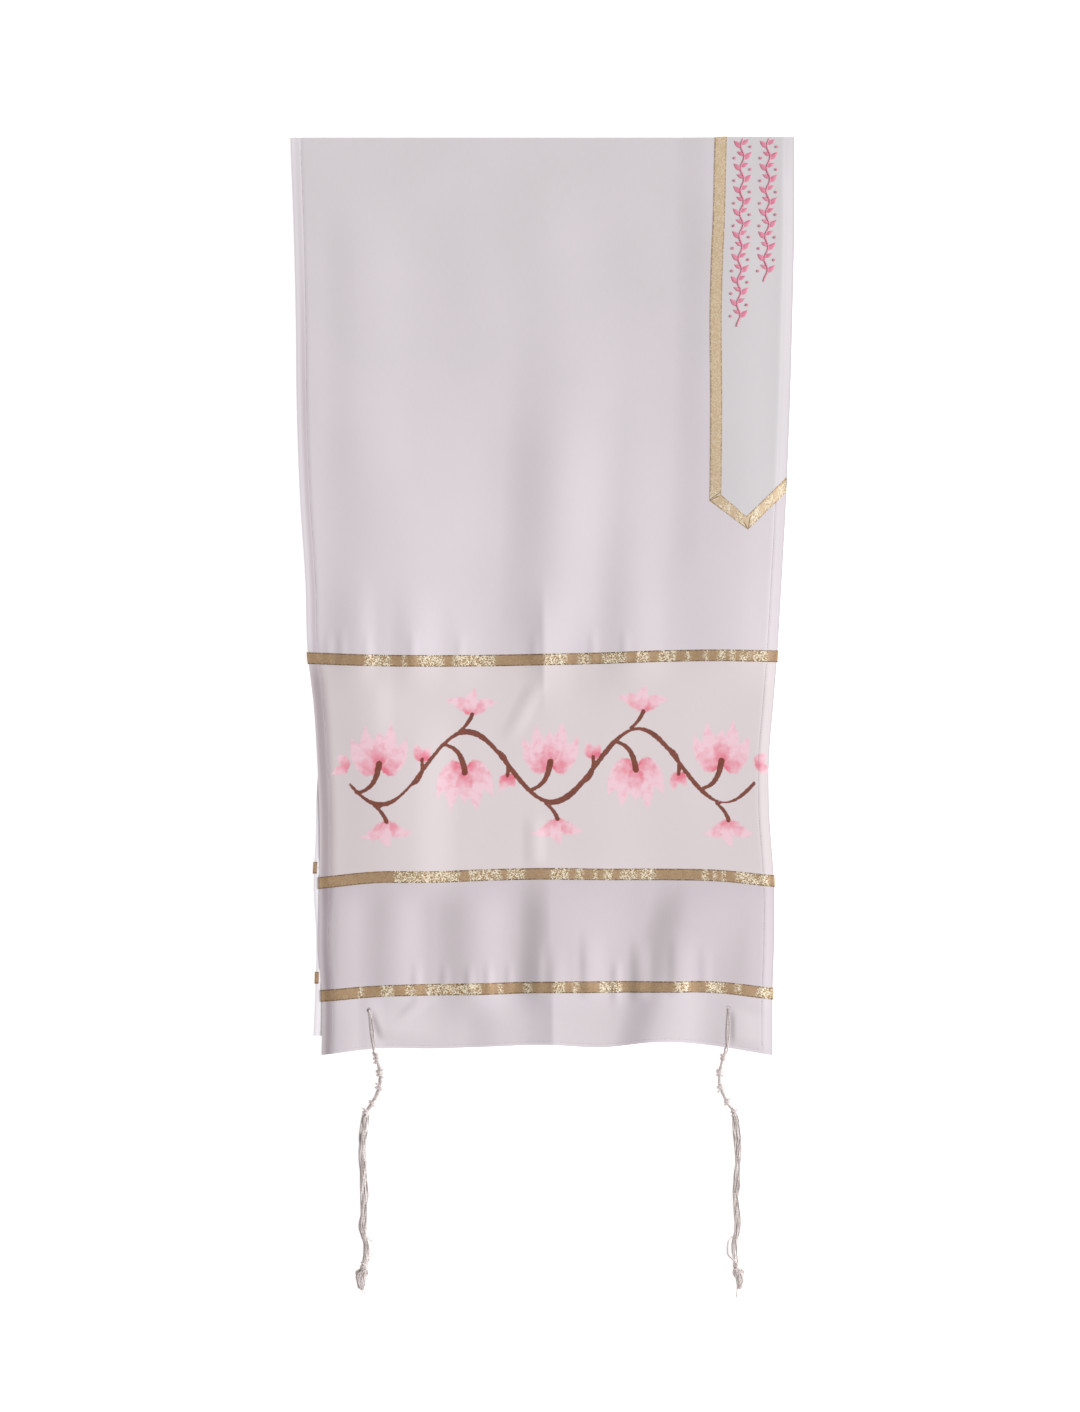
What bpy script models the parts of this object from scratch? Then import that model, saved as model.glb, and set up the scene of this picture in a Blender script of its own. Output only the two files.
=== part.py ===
"""Tallit prayer shawl, folded in half and laid flat with its decorated side up.

Units are metres and +Z is up. The fold is at +Y and the tassels point towards -Y. The shawl
rests on the plane Z = 0, and the origin is under the middle of its box.

A place on the cloth has four numbers:
  across  0 at the left edge and 1 at the right edge
  below   distance from the fold, positive on the front half and negative on the back half
  turn    0 on the front, 1 on the back and between them on the way round the fold
  out     distance from the cloth's inner face towards its decorated face
"""
import math
from collections import namedtuple

import bmesh
import bpy
import numpy as np

MM = 0.001

# Thickness of each layer and the gap that parts neighbouring pieces
CLOTH = 1.2 * MM
TRIM = 1.0 * MM
SEAM = 0.3 * MM
LAYER = TRIM + SEAM

# How the two halves lie on each other
FRONT_REST = 2.8 * MM
FRONT_REST_ON_BAND = 4.3 * MM
FOLD_BULGE = 1.0 * MM
FOLD_STEPS = 6
# The front half rises on the doubled neckband between these places across and below the fold
BAND_RISE_ACROSS = (0.76, 0.83)
BAND_RISE_BELOW = (440 * MM, 500 * MM)

# Trimmings
RIBBON_WIDTH = 12.7 * MM
BAND_LEFT = 0.8424
BAND_RIBBON_RIGHT = 0.8660
BAND_TIP = 0.9240
BAND_TIP_INNER = 0.9195

# Pointed end of the neckband: distances below the fold of the ribbon's two edges, in mm
PointedEnd = namedtuple(
    "PointedEnd", "left_outer left_inner tip_outer tip_inner right_outer right_inner")
FRONT_POINT = PointedEnd(400.0, 394.0, 432.0, 417.5, 390.0, 373.5)
BACK_POINT = PointedEnd(392.0, 386.0, 424.0, 409.5, 382.0, 365.5)

# Cross lines of each half, in mm below the fold. A wave is how far the line sinks at nine
# even stations from the left edge to the right one.
CrossLine = namedtuple("CrossLine", "level waves")
FRONT_LINES = (
    CrossLine(0.0, (0.0, 0.0, 0.0, 0.0, 0.0, 0.0, 0.0, 0.0, 0.0)),
    CrossLine(571.0, (-0.6, 1.9, 2.7, 2.3, 1.2, -0.3, -2.6, -3.6, -2.6)),
    CrossLine(810.0, (7.9, 1.3, 1.0, -1.3, -2.6, -1.8, -1.7, -0.5, 5.7)),
    CrossLine(934.0, (7.8, 2.6, 0.8, -0.2, -2.1, -2.3, -2.3, -2.0, 5.1)),
    CrossLine(998.0, (9.1, 1.4, 1.7, -0.5, -2.7, 0.3, -6.3, -1.3, 9.1)),
)
FRONT_UPPER, FRONT_MIDDLE, FRONT_LOWER, FRONT_HEM = (line.level * MM for line in FRONT_LINES[1:])
BACK_UPPER, BACK_MIDDLE, BACK_LOWER, BACK_HEM = 556 * MM, 801 * MM, 922 * MM, 986 * MM

# Side edges of each half, in mm
SideEdge = namedtuple("SideEdge", "below left right")
FRONT_EDGES = (
    SideEdge(0, -277, 277),
    SideEdge(110, -273, 277),
    SideEdge(200, -271, 275),
    SideEdge(290, -269.5, 272.5),
    SideEdge(400, -265, 268),
    SideEdge(485, -259.5, 263.5),
    SideEdge(570, -256.5, 258.5),
    SideEdge(620, -250.5, 254.5),
    SideEdge(680, -246.5, 248.5),
    SideEdge(730, -244, 249.5),
    SideEdge(815, -244, 255),
    SideEdge(880, -245, 255),
    SideEdge(945, -242, 253),
    SideEdge(1000, -243, 252),
)
BACK_EDGES = (
    SideEdge(0, -277, 277),
    SideEdge(110, -272, 275),
    SideEdge(290, -268, 270),
    SideEdge(400, -263.5, 265.5),
    SideEdge(570, -253, 255),
    SideEdge(680, -246, 246),
    SideEdge(730, -248.5, 247),
    SideEdge(775, -249.5, 250),
    SideEdge(815, -251.5, 252),
    SideEdge(880, -248.5, 252),
    SideEdge(945, -248.5, 250),
    SideEdge(990, -249.5, 249.5),
)

# Soft ridges of the front half, in mm. Each runs from x_top at top to x_bottom at bottom,
# falls to nothing over its left and right flanks, and rises and fades along its length.
# Crease is 0 on a round crest and 1 on a pressed one.
Ridge = namedtuple("Ridge", "x_top top x_bottom bottom left right height crease rise fade")
RIDGES = (
    Ridge(-202, 30, -198, 430, 42, 36, 1.4, 0, 120, 120),
    Ridge(-198, 270, -198, 645, 42, 24, 4.0, 0, 190, 60),
    Ridge(-135, 290, -135, 640, 36, 30, 4.5, 0, 170, 60),
    Ridge(-91, 340, -91, 620, 18, 31, 2.4, 0, 110, 50),
    Ridge(0, 240, 2, 650, 60, 52, 8.0, 1, 240, 70),
    Ridge(101, 310, 101, 645, 45, 43, 5.5, 0, 170, 60),
    Ridge(190, 410, 188, 645, 45, 62, 4.0, 0, 90, 60),
    Ridge(-242, 585, -214, 700, 28, 50, 3.0, 0, 60, 40),
    Ridge(-2, 590, -41, 668, 16, 16, 1.2, 0, 20, 30),
    Ridge(-9, 735, -8, 808, 15, 15, 1.2, 0, 30, 20),
    Ridge(-214, 650, -220, 1100, 28, 42, 3.2, 0, 70, 90),
    Ridge(-158, 800, -158, 995, 34, 38, 4.5, 0, 60, 55),
    Ridge(-75, 805, -75, 1000, 43, 36, 5.5, 0, 55, 50),
    Ridge(10, 780, 11, 1100, 48, 75, 8.0, 1, 85, 60),
    Ridge(94, 820, 94, 980, 40, 28, 2.5, 0, 50, 45),
    Ridge(166, 800, 134, 1100, 41, 52, 6.0, 0, 65, 60),
    Ridge(-205, 945, -205, 1100, 38, 95, 2.4, 0, 35, 60),
    Ridge(-190, 928, -184, 1100, 15, 17, 1.8, 0, 20, 60),
    Ridge(206, 922, 205, 1100, 22, 24, 4.2, 0, 26, 60),
)

# Lattice that every piece of cloth is made from, so that layers keep their distance
BAND_COLUMN = 27
COLUMNS = np.concatenate((
    np.linspace(0.0, BAND_LEFT, BAND_COLUMN + 1),
    np.linspace(BAND_RIBBON_RIGHT, 1.0, 6),
))
FLAT_BACK_COLUMNS = COLUMNS[[0, 5, 11, 16, 22, 27, 33]]
END_BACK_COLUMNS = COLUMNS[[0, 3, 4, 5, 6, 11, 16, 22, 27, 28, 29, 30, 31, 33]]
FRONT_BODY_ROWS = np.array((0, 40, 150, 250, 320, 375, 420, 460, 500, 530, 552)) * MM
FRONT_DECOR_ROWS = np.array((600, 640, 680, 720, 760, 790)) * MM
FRONT_END_ROWS = np.array((832, 855, 880, 904, 920)) * MM
FRONT_HEM_ROWS = np.array((953.5, 970, 985)) * MM
BACK_BODY_ROWS = np.array((0, 60, 200, 335, 355, 428, 448, 534)) * MM
BACK_DECOR_ROWS = np.array((574, 690, 782)) * MM
BACK_END_ROWS = np.array((820, 865, 904)) * MM
BACK_HEM_ROWS = np.array((938, 949)) * MM
POINTED_ZONE = (355 * MM, 428 * MM)
BAND_FRONT_ROWS = np.array((0, 40, 150, 250, 320, 355)) * MM
BAND_BACK_ROWS = np.array((0, 60, 200, 335, 355)) * MM
# Slack that a lattice point is compared with, across and below
ACROSS_SLACK = 0.001
BELOW_SLACK = 0.6 * MM

# Eyelets and tassels. Across is where the thread passes the eyelet and where it passes the hem.
Eyelet = namedtuple("Eyelet", "across below across_hem hem")
EYELETS = {
    "front_left": Eyelet(0.1050, 953.5 * MM, 0.1176, FRONT_HEM),
    "front_right": Eyelet(0.9026, 955.0 * MM, 0.8998, FRONT_HEM),
    "back_left": Eyelet(0.1168, -956.0 * MM, 0.1240, -BACK_HEM),
    "back_right": Eyelet(0.9090, -956.0 * MM, 0.9065, -BACK_HEM),
}
EYELET_RADIUS = 2.6 * MM
# The back half rises by this much over the thread under it, from above its eyelet to its hem
THREAD_LIFT = 1.6 * MM
THREAD_LIFT_ACROSS = 0.027
THREAD_LIFT_START = 948 * MM
THREAD_HALF_WIDTH = 1.5 * MM
THREAD_HALF_HEIGHT = 0.6 * MM
PAST_HEM = 3.5 * MM
LEGS_APART = 0.7 * MM
# The thread's bend in an eyelet, in mm down from its middle and out from the cloth's middle
THROUGH_EYELET = ((1.9, 1.3), (0.9, 0.8), (0.5, 0.0), (0.9, -0.8), (1.9, -1.3))
BACK_KNOT_Z = 2.6 * MM
FRONT_KNOT_Z = 7.3 * MM
BACK_STRAND_Z = 0.95 * MM
FRONT_STRAND_Z = 3.75 * MM
STRAND_COUNT = 8
STRAND_RADIUS = 0.6 * MM
STRAND_LAYER = 1.3 * MM
STRAND_TRIM = 11 * MM
LINK_RADIUS = 1.5 * MM

# Knots of a tassel, in mm from its eyelet
Knot = namedtuple("Knot", "inward down half_width half_height half_length")
KNOTS = (
    Knot(10.5, 57.0, 2.9, 2.2, 3.4),
    Knot(13.9, 71.5, 3.0, 2.2, 3.6),
    Knot(12.5, 89.0, 3.0, 2.2, 3.8),
    Knot(5.5, 104.0, 3.0, 2.2, 3.4),
    Knot(-2.2, 113.5, 3.7, 2.3, 3.6),
)
END_KNOT = Knot(-4.4, 283.0, 3.7, 2.2, 4.2)

# Middle of the strands' bundle, in mm from the eyelet. Lift is 1 inside a knot.
Strands = namedtuple("Strands", "inward down half_width lift")
STRANDS = (
    Strands(-2.2, 112.5, 2.8, 1.0),
    Strands(-4.0, 126.0, 3.7, 0.3),
    Strands(-6.3, 150.0, 3.4, 0.0),
    Strands(-5.6, 181.0, 3.3, 0.0),
    Strands(-4.2, 204.0, 4.0, 0.0),
    Strands(-5.0, 222.0, 2.9, 0.0),
    Strands(-6.8, 240.0, 3.6, 0.1),
    Strands(-3.2, 262.0, 2.9, 0.9),
    Strands(-4.4, 283.0, 2.7, 1.0),
    Strands(-7.6, 296.0, 5.6, 0.3),
    Strands(-8.4, 311.0, 4.6, 0.0),
)
LOOSE_STATION = 7
LOOSE_REACH = 5.0 * MM

# The box runs from the neckband ribbon's turn at the fold to the lowest strand's end
RIBBON_BULGE = FOLD_BULGE + CLOTH + 2 * LAYER
LOWEST_STRAND = 1267.5 * MM
FOLD_Y = (LOWEST_STRAND - RIBBON_BULGE) / 2

MODEL = "tallit_shawl"


def smooth_between(stations, values, at):
    """Smooth curve through a table: cubic pieces with the table's own slopes at its stations."""
    stations = np.asarray(stations, float)
    values = np.asarray(values, float)
    slopes = np.gradient(values, stations)
    at = np.clip(at, stations[0], stations[-1])
    right = np.clip(np.searchsorted(stations, at, side="right"), 1, len(stations) - 1)
    left = right - 1
    width = stations[right] - stations[left]
    t = (at - stations[left]) / width
    start = (2 * t**3 - 3 * t**2 + 1) * values[left] + (t**3 - 2 * t**2 + t) * width * slopes[left]
    end = (3 * t**2 - 2 * t**3) * values[right] + (t**3 - t**2) * width * slopes[right]
    return start + end


def ease(value):
    """Soft step from 0 to 1."""
    value = np.clip(value, 0.0, 1.0)
    return value * value * (3.0 - 2.0 * value)


def side_x(across, below):
    """X of a place: even between the two side edges of its half."""
    depth = np.abs(below) / MM
    half = []
    for edges in (FRONT_EDGES, BACK_EDGES):
        stations = [edge.below for edge in edges]
        left = smooth_between(stations, [edge.left for edge in edges], depth)
        right = smooth_between(stations, [edge.right for edge in edges], depth)
        half.append((left + (right - left) * across) * MM)
    return np.where(below >= 0.0, half[0], half[1])


def drop(across, below):
    """Distance under the fold, with the cross lines' waves faded from one line to the next."""
    stations = np.linspace(0.0, 1.0, len(FRONT_LINES[0].waves))
    levels = np.array([line.level for line in FRONT_LINES]) * MM
    waves = np.stack([smooth_between(stations, line.waves, across) for line in FRONT_LINES]) * MM
    lower = np.clip(np.searchsorted(levels, below, side="right"), 1, len(levels) - 1)
    upper = lower - 1
    share = np.clip((below - levels[upper]) / (levels[lower] - levels[upper]), 0.0, 1.0)
    pick = np.indices(lower.shape)
    wave = waves[(upper, *pick)] * (1.0 - share) + waves[(lower, *pick)] * share
    return np.where(below >= 0.0, below + wave, -below)


def ridge_height(x, below):
    """Height that the soft ridges add to the front half."""
    x = x / MM
    depth = below / MM
    total = np.zeros_like(x)
    for ridge in RIDGES:
        along = (depth - ridge.top) / (ridge.bottom - ridge.top)
        crest = ridge.x_top + (ridge.x_bottom - ridge.x_top) * along
        flank = np.where(x < crest, ridge.left, ridge.right)
        off = np.clip(np.abs(x - crest) / flank, 0.0, 1.0)
        round_crest = 0.5 + 0.5 * np.cos(np.pi * off)
        pressed_crest = (1.0 - off) ** 2
        section = round_crest * (1.0 - ridge.crease) + pressed_crest * ridge.crease
        length = ease((depth - ridge.top) / ridge.rise) * ease((ridge.bottom - depth) / ridge.fade)
        total += ridge.height * section * length
    return total * MM


def front_inner(across, below):
    """Height of the front half's inner face: its rest on the back half, and its ridges."""
    start, full = BAND_RISE_ACROSS
    keep, end = BAND_RISE_BELOW
    over_band = ease((across - start) / (full - start)) * ease((end - below) / (end - keep))
    rest = FRONT_REST + (FRONT_REST_ON_BAND - FRONT_REST) * over_band
    return rest + ridge_height(side_x(across, below), below)


def back_inner(across, below):
    """Height of the back half's inner face: it steps up over the trimmings that it lies on."""
    on_band = (across > BAND_LEFT - ACROSS_SLACK) & (below < POINTED_ZONE[1] + BELOW_SLACK)
    in_point = below > POINTED_ZONE[0] - BELOW_SLACK
    on_band_ribbon = on_band & ((across < BAND_RIBBON_RIGHT + ACROSS_SLACK) | in_point)
    on_ribbon = np.zeros_like(across)
    for line in (BACK_UPPER, BACK_MIDDLE, BACK_LOWER):
        on_ribbon = np.maximum(on_ribbon, np.abs(below - line) < RIBBON_WIDTH / 2 + BELOW_SLACK)
    on_thread = np.zeros_like(across)
    for name in ("back_left", "back_right"):
        eyelet = EYELETS[name]
        middle = (eyelet.across + eyelet.across_hem) / 2
        near = np.abs(across - middle) < THREAD_LIFT_ACROSS
        on_thread = np.maximum(on_thread, near & (below > THREAD_LIFT_START))
    trims = LAYER * np.sum((on_band, on_band_ribbon, on_ribbon), axis=0)
    return CLOTH + trims + THREAD_LIFT * on_thread


def line_rows(line):
    """Lattice rows at a ribbon's two edges and its middle."""
    return np.array((line - RIBBON_WIDTH / 2, line, line + RIBBON_WIDTH / 2))


def lattice(height, rows):
    """Heights at every lattice column and the given rows."""
    across, below = np.meshgrid(COLUMNS, rows)
    return height(across, below)


FRONT_ROWS = np.concatenate((
    FRONT_BODY_ROWS, line_rows(FRONT_UPPER), FRONT_DECOR_ROWS, line_rows(FRONT_MIDDLE),
    FRONT_END_ROWS, line_rows(FRONT_LOWER), FRONT_HEM_ROWS, [FRONT_HEM],
))
BACK_ROWS = np.concatenate((
    BACK_BODY_ROWS, line_rows(BACK_UPPER), BACK_DECOR_ROWS, line_rows(BACK_MIDDLE),
    BACK_END_ROWS, line_rows(BACK_LOWER), BACK_HEM_ROWS, [BACK_HEM],
))
FRONT_LATTICE = lattice(front_inner, FRONT_ROWS)
BACK_LATTICE = lattice(back_inner, BACK_ROWS)


def lattice_height(heights, rows, across, below):
    """Height between the lattice's points, straight along columns and rows."""
    column = np.clip(np.searchsorted(COLUMNS, across, side="right"), 1, len(COLUMNS) - 1)
    row = np.clip(np.searchsorted(rows, below, side="right"), 1, len(rows) - 1)
    s = np.clip((across - COLUMNS[column - 1]) / (COLUMNS[column] - COLUMNS[column - 1]), 0, 1)
    t = np.clip((below - rows[row - 1]) / (rows[row] - rows[row - 1]), 0, 1)
    above = heights[row - 1, column - 1] * (1 - s) + heights[row - 1, column] * s
    under = heights[row, column - 1] * (1 - s) + heights[row, column] * s
    return above * (1 - t) + under * t


def cloth_point(across, below, turn, out):
    """World position of a place on the cloth. Round the fold it follows a half ellipse."""
    across, below, turn, out = np.broadcast_arrays(across, below, turn, out)
    front = lattice_height(FRONT_LATTICE, FRONT_ROWS, across, np.maximum(below, 0.0))
    back = lattice_height(BACK_LATTICE, BACK_ROWS, across, np.maximum(-below, 0.0))
    middle = (front + back) / 2
    half_gap = (front - back) / 2
    x = side_x(across, below)
    y = FOLD_Y - drop(across, below) + (FOLD_BULGE + out) * np.sin(np.pi * turn)
    z = middle + (half_gap + out) * np.cos(np.pi * turn)
    return np.stack((x, y, z), axis=-1)


def material(name, colour, roughness, metallic=0.0):
    """Principled material with one colour."""
    made = bpy.data.materials.new(name)
    made.use_nodes = True
    shader = made.node_tree.nodes["Principled BSDF"]
    shader.inputs["Base Color"].default_value = (*colour, 1.0)
    shader.inputs["Roughness"].default_value = roughness
    shader.inputs["Metallic"].default_value = metallic
    return made


def new_object(name, vertices, faces, finish, collection):
    """Mesh object with its faces turned outward."""
    mesh = bpy.data.meshes.new(name)
    mesh.from_pydata([tuple(map(float, point)) for point in vertices], [], faces)
    edit = bmesh.new()
    edit.from_mesh(mesh)
    bmesh.ops.recalc_face_normals(edit, faces=edit.faces)
    edit.to_mesh(mesh)
    edit.free()
    mesh.materials.append(finish)
    mesh.shade_smooth()
    mesh.set_sharp_from_angle(angle=math.radians(40))
    made = bpy.data.objects.new(name, mesh)
    collection.objects.link(made)
    return made


def wall(name, across, below, turn, inner, outer, finish, collection):
    """Closed wall of cloth between two distances out, over a grid of rows and columns.

    Every cell is split along the same diagonal, so that layers on each other bend alike.
    """
    across, below, turn = np.broadcast_arrays(across, below, turn)
    rows, columns = across.shape
    layers = [cloth_point(across, below, turn, out).reshape(-1, 3) for out in (inner, outer)]
    vertices = np.concatenate(layers)
    count = rows * columns

    def corner(row, column, layer):
        return layer * count + row * columns + column

    faces = []
    for row in range(rows - 1):
        for column in range(columns - 1):
            near = (row, column)
            far = (row + 1, column + 1)
            for third in ((row, column + 1), (row + 1, column)):
                faces.append([corner(*near, 1), corner(*third, 1), corner(*far, 1)])
                faces.append([corner(*far, 0), corner(*third, 0), corner(*near, 0)])
    rim = [(0, c) for c in range(columns)]
    rim += [(r, columns - 1) for r in range(1, rows)]
    rim += [(rows - 1, c) for c in range(columns - 2, -1, -1)]
    rim += [(r, 0) for r in range(rows - 2, 0, -1)]
    for here, after in zip(rim, rim[1:] + rim[:1]):
        faces.append([corner(*here, 0), corner(*after, 0), corner(*after, 1), corner(*here, 1)])
    return new_object(name, vertices, faces, finish, collection)


def over_fold(front_rows, back_rows):
    """Rows from a front half's end up over the fold and down to a back half's end."""
    bend = np.linspace(0.0, 1.0, FOLD_STEPS + 1)
    below = np.concatenate((front_rows[::-1], np.zeros(len(bend) - 2), -back_rows))
    turn = np.concatenate((np.zeros(len(front_rows)), bend[1:-1], np.ones(len(back_rows))))
    return below[:, None], turn[:, None]


def make_body_panel(finish, collection):
    """Centre cloth: from the front's upper ribbon, over the fold, to the back's."""
    front = np.append(FRONT_ROWS[FRONT_ROWS < FRONT_UPPER - SEAM], FRONT_UPPER - SEAM / 2)
    back = np.append(BACK_ROWS[BACK_ROWS < BACK_UPPER - SEAM], BACK_UPPER - SEAM / 2)
    below, turn = over_fold(front, back)
    wall("body_panel", COLUMNS[None, :], below, turn, 0.0, CLOTH, finish, collection)


def make_half_panel(name, rows, start, end, columns, side, finish, collection):
    """Panel of one half between two lines. Side is 1 on the front and -1 on the back."""
    inside = rows[(rows > start + SEAM) & (rows < end - SEAM)]
    below = side * np.concatenate(([start], inside, [end]))[:, None]
    turn = 0.0 if side > 0 else 1.0
    return wall(name, columns[None, :], below, turn, 0.0, CLOTH, finish, collection)


def cut_eyelet(panel, name, eyelet, cutters):
    """Round hole through a corner, for the tassel's threads."""
    turn = 0.0 if eyelet.below > 0 else 1.0
    centre = cloth_point(eyelet.across, eyelet.below, turn, CLOTH / 2)
    bpy.ops.mesh.primitive_cylinder_add(
        vertices=12, radius=EYELET_RADIUS, depth=6 * CLOTH, location=tuple(map(float, centre)))
    cutter = bpy.context.object
    cutter.name = "eyelet_cutter_" + name
    cutter.hide_render = True
    cutter.display_type = "WIRE"
    for owner in list(cutter.users_collection):
        owner.objects.unlink(cutter)
    cutters.objects.link(cutter)
    hole = panel.modifiers.new("eyelet_" + name, "BOOLEAN")
    hole.operation = "DIFFERENCE"
    hole.object = cutter


def make_cross_ribbon(name, line, columns, side, finish, collection):
    """Ribbon sewn from side to side over a cross line."""
    below = side * line_rows(line)[:, None]
    turn = 0.0 if side > 0 else 1.0
    wall(name, columns[None, :], below, turn, CLOTH + SEAM, CLOTH + LAYER, finish, collection)


def pointed_edge(across, point):
    """Distance below the fold of the neckband's pointed end."""
    stations = (BAND_LEFT, BAND_TIP, 1.0)
    return np.interp(across, stations, (point.left_outer, point.tip_outer, point.right_outer)) * MM


def make_neckband(finish, collection):
    """Strip along the neck edge with a pointed end on each half."""
    columns = np.sort(np.append(COLUMNS[COLUMNS > BAND_LEFT - ACROSS_SLACK], BAND_TIP))
    below, turn = over_fold(BAND_FRONT_ROWS, BAND_BACK_ROWS)
    below = np.repeat(below, len(columns), axis=1)
    turn = np.repeat(turn, len(columns), axis=1)
    ends = []
    for point, start in ((FRONT_POINT, BAND_FRONT_ROWS[-1]), (BACK_POINT, BAND_BACK_ROWS[-1])):
        edge = pointed_edge(columns, point)
        ends.append(np.stack([start + (edge - start) * share for share in (0.34, 0.67, 1.0)]))
    below = np.concatenate((ends[0][::-1], below, -ends[1]))
    turn = np.concatenate((np.zeros_like(ends[0]), turn, np.ones_like(ends[1])))
    wall("neckband", columns[None, :], below, turn, CLOTH + SEAM, CLOTH + LAYER,
         finish, collection)


def pointed_ribbon(point):
    """Ribbon round a pointed end: outer and inner edge from the right edge to the left corner."""
    corners = (
        ((1.0, point.right_outer), (1.0, point.right_inner)),
        ((BAND_TIP, point.tip_outer), (BAND_TIP_INNER, point.tip_inner)),
        ((BAND_LEFT, point.left_outer), (BAND_RIBBON_RIGHT, point.left_inner)),
    )
    rings = []
    for here, after in zip(corners, corners[1:]):
        here = np.array(here)
        after = np.array(after)
        rings += [here + (after - here) * share for share in (0.0, 0.25, 0.5, 0.75)]
    rings.append(np.array(corners[-1]))
    rings = np.array(rings)
    return rings[:, :, 0], rings[:, :, 1] * MM


def make_neckband_ribbon(finish, collection):
    """One ribbon: round the front's point, up the neckband, over the fold and down the back."""
    front_across, front_below = pointed_ribbon(FRONT_POINT)
    back_across, back_below = pointed_ribbon(BACK_POINT)
    run_below, run_turn = over_fold(BAND_FRONT_ROWS, BAND_BACK_ROWS)
    run_across = np.tile((BAND_LEFT, BAND_RIBBON_RIGHT), (len(run_below), 1))
    across = np.concatenate((front_across, run_across, back_across[::-1]))
    below = np.concatenate((front_below, np.repeat(run_below, 2, axis=1), -back_below[::-1]))
    turn = np.concatenate((
        np.zeros_like(front_below), np.repeat(run_turn, 2, axis=1), np.ones_like(back_below)))
    wall("neckband_ribbon", across, below, turn, CLOTH + LAYER + SEAM, CLOTH + 2 * LAYER,
         finish, collection)


def sweep(path, half_widths, half_heights, sides, level=False):
    """Rings of an oval carried along a path, with its width level, and closed flat ends."""
    path = np.asarray(path, float)
    tangent = np.gradient(path, axis=0)
    tangent /= np.linalg.norm(tangent, axis=1)[:, None]
    if level:
        width_way = np.tile((1.0, 0.0, 0.0), (len(path), 1))
    else:
        width_way = np.cross(tangent, (0.0, 0.0, 1.0))
        width_way /= np.linalg.norm(width_way, axis=1)[:, None]
    height_way = np.cross(width_way, tangent)
    height_way /= np.linalg.norm(height_way, axis=1)[:, None]
    angle = 2 * np.pi * (np.arange(sides) + 0.5) / sides
    ring = (path[:, None, :]
            + width_way[:, None, :] * (np.asarray(half_widths)[:, None] * np.cos(angle))[..., None]
            + height_way[:, None, :] * (np.asarray(half_heights)[:, None] * np.sin(angle))[..., None])
    faces = []
    for row in range(len(path) - 1):
        for side in range(sides):
            after = (side + 1) % sides
            faces.append([row * sides + side, row * sides + after,
                          (row + 1) * sides + after, (row + 1) * sides + side])
    last = (len(path) - 1) * sides
    faces.append(list(range(sides))[::-1])
    faces.append([last + side for side in range(sides)])
    return ring.reshape(-1, 3), faces


def knot_rings(knot, middle, way):
    """Rings of one knot: centres along its own way, with an oval's half widths and heights."""
    rings = []
    for share in (-0.75, 0.0, 0.75):
        swell = math.sqrt(1.0 - share * share)
        centre = middle + way * share * knot.half_length * MM
        rings.append((centre, knot.half_width * MM * swell, knot.half_height * MM * swell))
    return rings


def tassel_place(origin, side, inward, down, z):
    """World position from millimetres inward and down from the eyelet."""
    return np.array((origin[0] - side * inward * MM, origin[1] - down * MM, z))


def make_knots(origin, side, knot_z, finish, operands, name):
    """Chain of knots below the hem, joined by wound threads, ending in the tassel's neck."""
    middles = [tassel_place(origin, side, knot.inward, knot.down, knot_z) for knot in KNOTS]
    rings = []
    for index, knot in enumerate(KNOTS):
        before = middles[max(index - 1, 0)]
        after = middles[min(index + 1, len(KNOTS) - 1)]
        way = (after - before) / np.linalg.norm(after - before)
        rings += knot_rings(knot, middles[index], way)
        if index < len(KNOTS) - 1:
            rings.append(((middles[index] + after) / 2, LINK_RADIUS, LINK_RADIUS))
    path, widths, heights = zip(*rings)
    vertices, faces = sweep(path, widths, heights, 6)
    return new_object(name, vertices, faces, finish, operands)


def make_loop(eyelet, first_knot, finish, operands, name):
    """Threads from the first knot over the hem, through the eyelet and back under the cloth."""
    turn = 0.0 if eyelet.below > 0 else 1.0
    clear = SEAM + THREAD_HALF_HEIGHT
    legs = []
    outward = 1.0 if turn == 0.0 else -1.0
    for out, knot_shift in ((CLOTH + clear, LEGS_APART), (-clear, -LEGS_APART)):
        leg = []
        for share in (1.0, 0.55, 0.12):
            across = eyelet.across + (eyelet.across_hem - eyelet.across) * share
            below = eyelet.below + (eyelet.hem - eyelet.below) * share
            leg.append(cloth_point(across, below, turn, out))
        past_hem = leg[0] - np.array((0.0, PAST_HEM, 0.0))
        at_knot = first_knot + np.array((0.0, 0.0, outward * knot_shift))
        leg = [at_knot, past_hem] + leg
        legs.append(leg)
    centre = cloth_point(eyelet.across, eyelet.below, turn, CLOTH / 2)
    through = [centre + np.array((0.0, -down, outward * out)) * MM for down, out in THROUGH_EYELET]
    path = np.array(legs[0] + through + legs[1][::-1])
    count = len(path)
    vertices, faces = sweep(
        path, [THREAD_HALF_WIDTH] * count, [THREAD_HALF_HEIGHT] * count, 4, level=True)
    return new_object(name, vertices, faces, finish, operands)


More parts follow.
